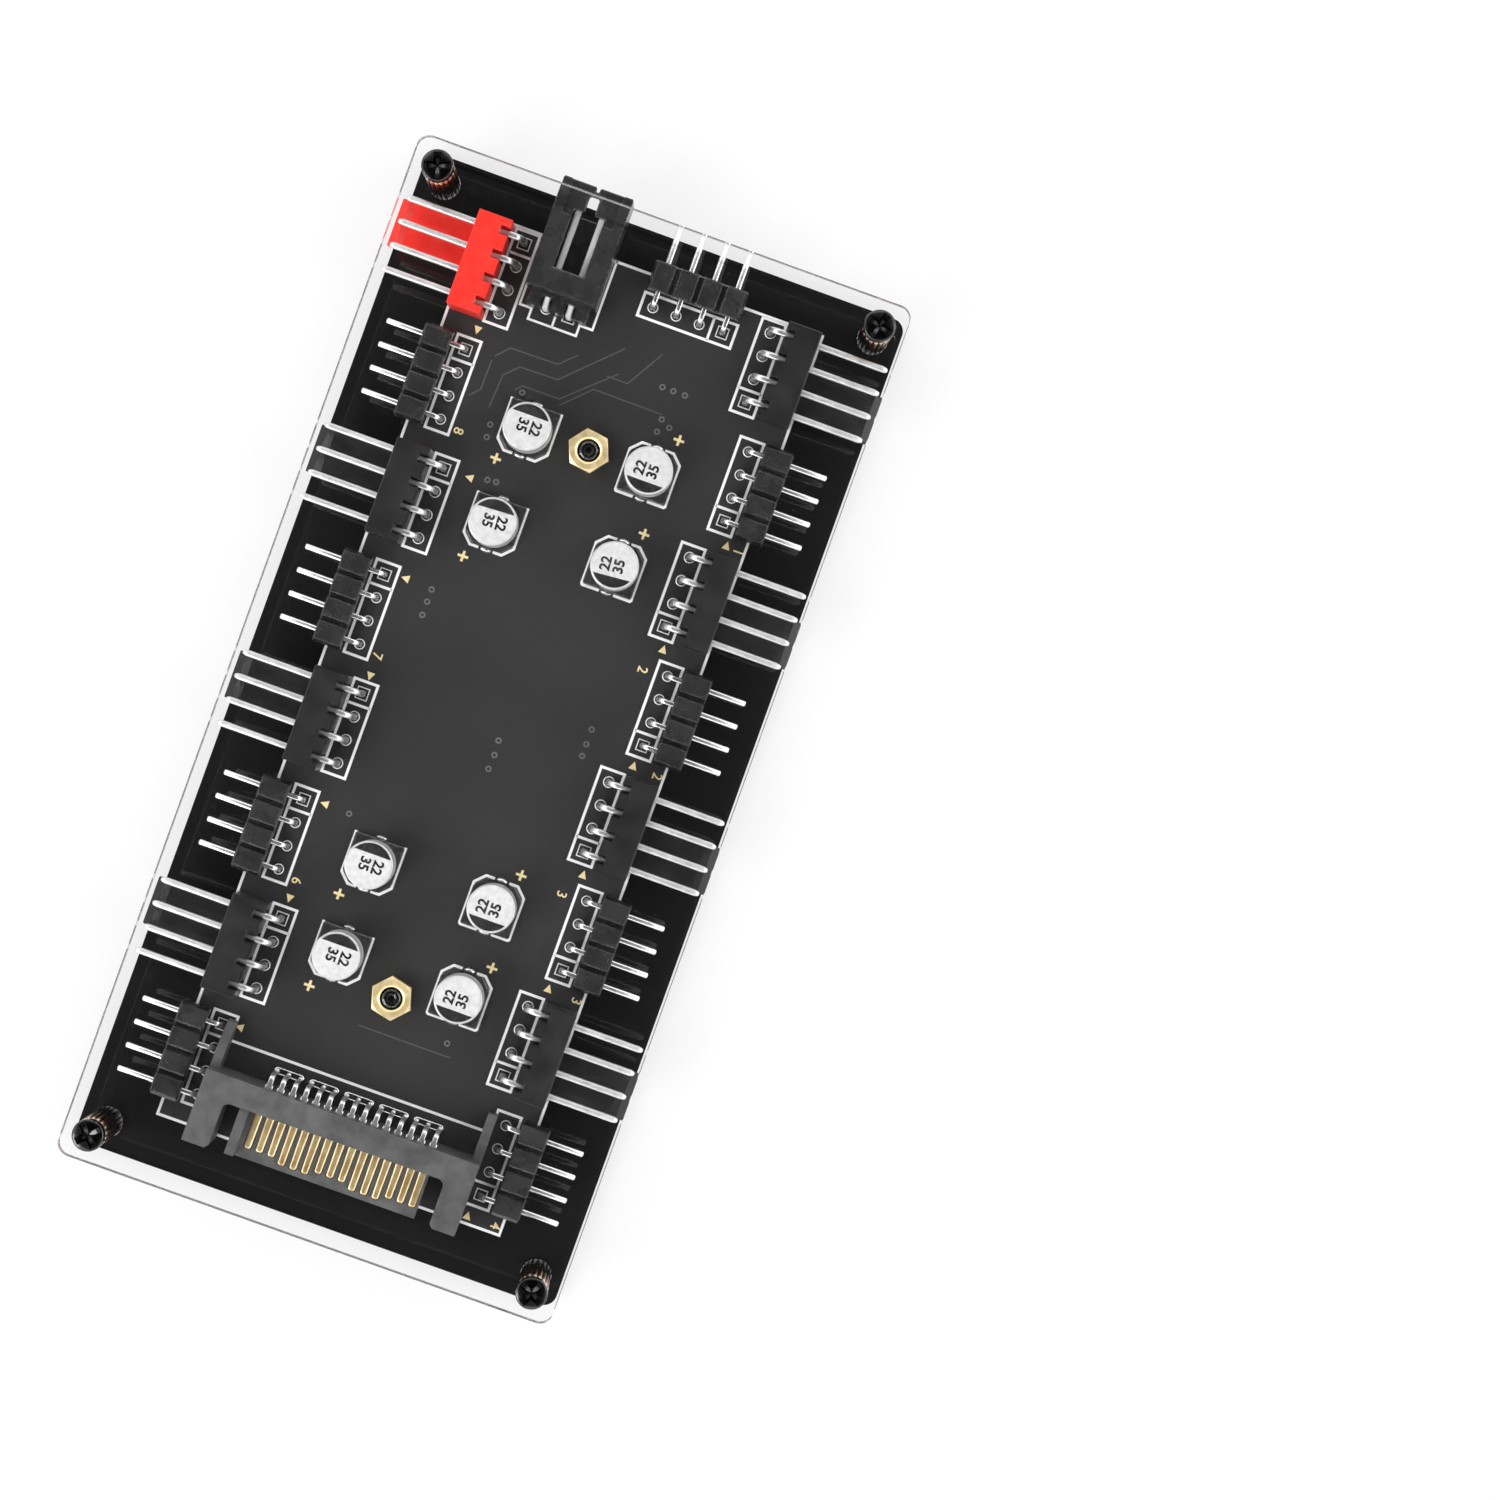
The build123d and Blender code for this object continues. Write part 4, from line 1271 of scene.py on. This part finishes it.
FLOOR_COLOUR = (*grey(0.8), 1.0)
FLOOR_GLOW = 0.68  # share of plain white that the floor shows beside its shaded colour


def floor_finish():
    """Pale paper that keeps the shadow, and that the camera, gloss and glass see as partly plain white."""
    material, tree, shader = start_material("floor")
    feed(tree, shader, {"Base Color": FLOOR_COLOUR, "Roughness": 0.9, "Specular IOR Level": 0.1})
    white = add_node(tree, "Emission")["Emission"]
    paler = mix_shaders(tree, FLOOR_GLOW, shader.outputs["BSDF"], white)
    path = add_node(tree, "LightPath")
    seen = larger(tree, path["Is Camera Ray"], path["Is Transmission Ray"])
    seen = larger(tree, seen, path["Is Glossy Ray"])
    show(tree, mix_shaders(tree, seen, shader.outputs["BSDF"], paler))
    return material


def make_floor():
    mesh_data = bmesh.new()
    add_lathe(mesh_data, [(FLOOR_RADIUS, -FLOOR_DROP), (0, -FLOOR_DROP)], segments=FLOOR_SEGMENTS)
    floor = mesh_object("floor", mesh_data, floor_finish())


# Light from the sky by its height: a bright ring half way up, dark overhead as under a hood
SKY_STRENGTH = 1.95
SKY = [
    (0.0, grey(0.52)),
    (0.12, grey(0.46)),
    (0.22, grey(0.2)),
    (0.42, grey(0.3)),
    (0.52, grey(1.0)),
    (0.78, grey(1.0)),
    (0.86, grey(0.22)),
    (0.95, grey(0.015)),
]


def make_world():
    world = bpy.data.worlds.new("studio")
    bpy.context.scene.world = world
    world.use_nodes = True
    tree = world.node_tree
    place = add_node(tree, "TexCoord")["Generated"]
    sky = colour_ramp(tree, upright_part(tree, place), SKY)
    feed(tree, tree.nodes["Background"], {"Color": sky, "Strength": SKY_STRENGTH})


# Soft lamps: place, side length and power in watts
LAMPS = {
    "key": ((-650.0, -700.0, 950.0), 650.0, 7.0),
    "fill": ((900.0, 250.0, 800.0), 600.0, 3.0),
}


def make_lamps():
    for name, (place, side, power) in LAMPS.items():
        light = bpy.data.lights.new(name, "AREA")
        light.shape = "SQUARE"
        light.size = side * MM
        light.energy = power
        lamp = add_object(name, light)
        lamp.location = Vector(place) * MM
        lamp.rotation_euler = Vector(place).to_track_quat("Z", "Y").to_euler()


def make_camera():
    back = -Vector(CAMERA_FORWARD)
    up = Vector(CAMERA_UP)
    right = up.cross(back)
    data = bpy.data.cameras.new("camera")
    data.lens = CAMERA_LENS
    data.sensor_width = CAMERA_SENSOR
    data.clip_start, data.clip_end = (limit * MM for limit in CAMERA_CLIP)
    camera = add_object("camera", data)
    turn = Matrix((right, up, back)).transposed().to_4x4()
    camera.matrix_world = Matrix.Translation(Vector(CAMERA_PLACE) * MM) @ turn
    bpy.context.scene.camera = camera


make_floor()
make_world()
make_lamps()
make_camera()
bpy.context.scene.view_settings.view_transform = "Standard"
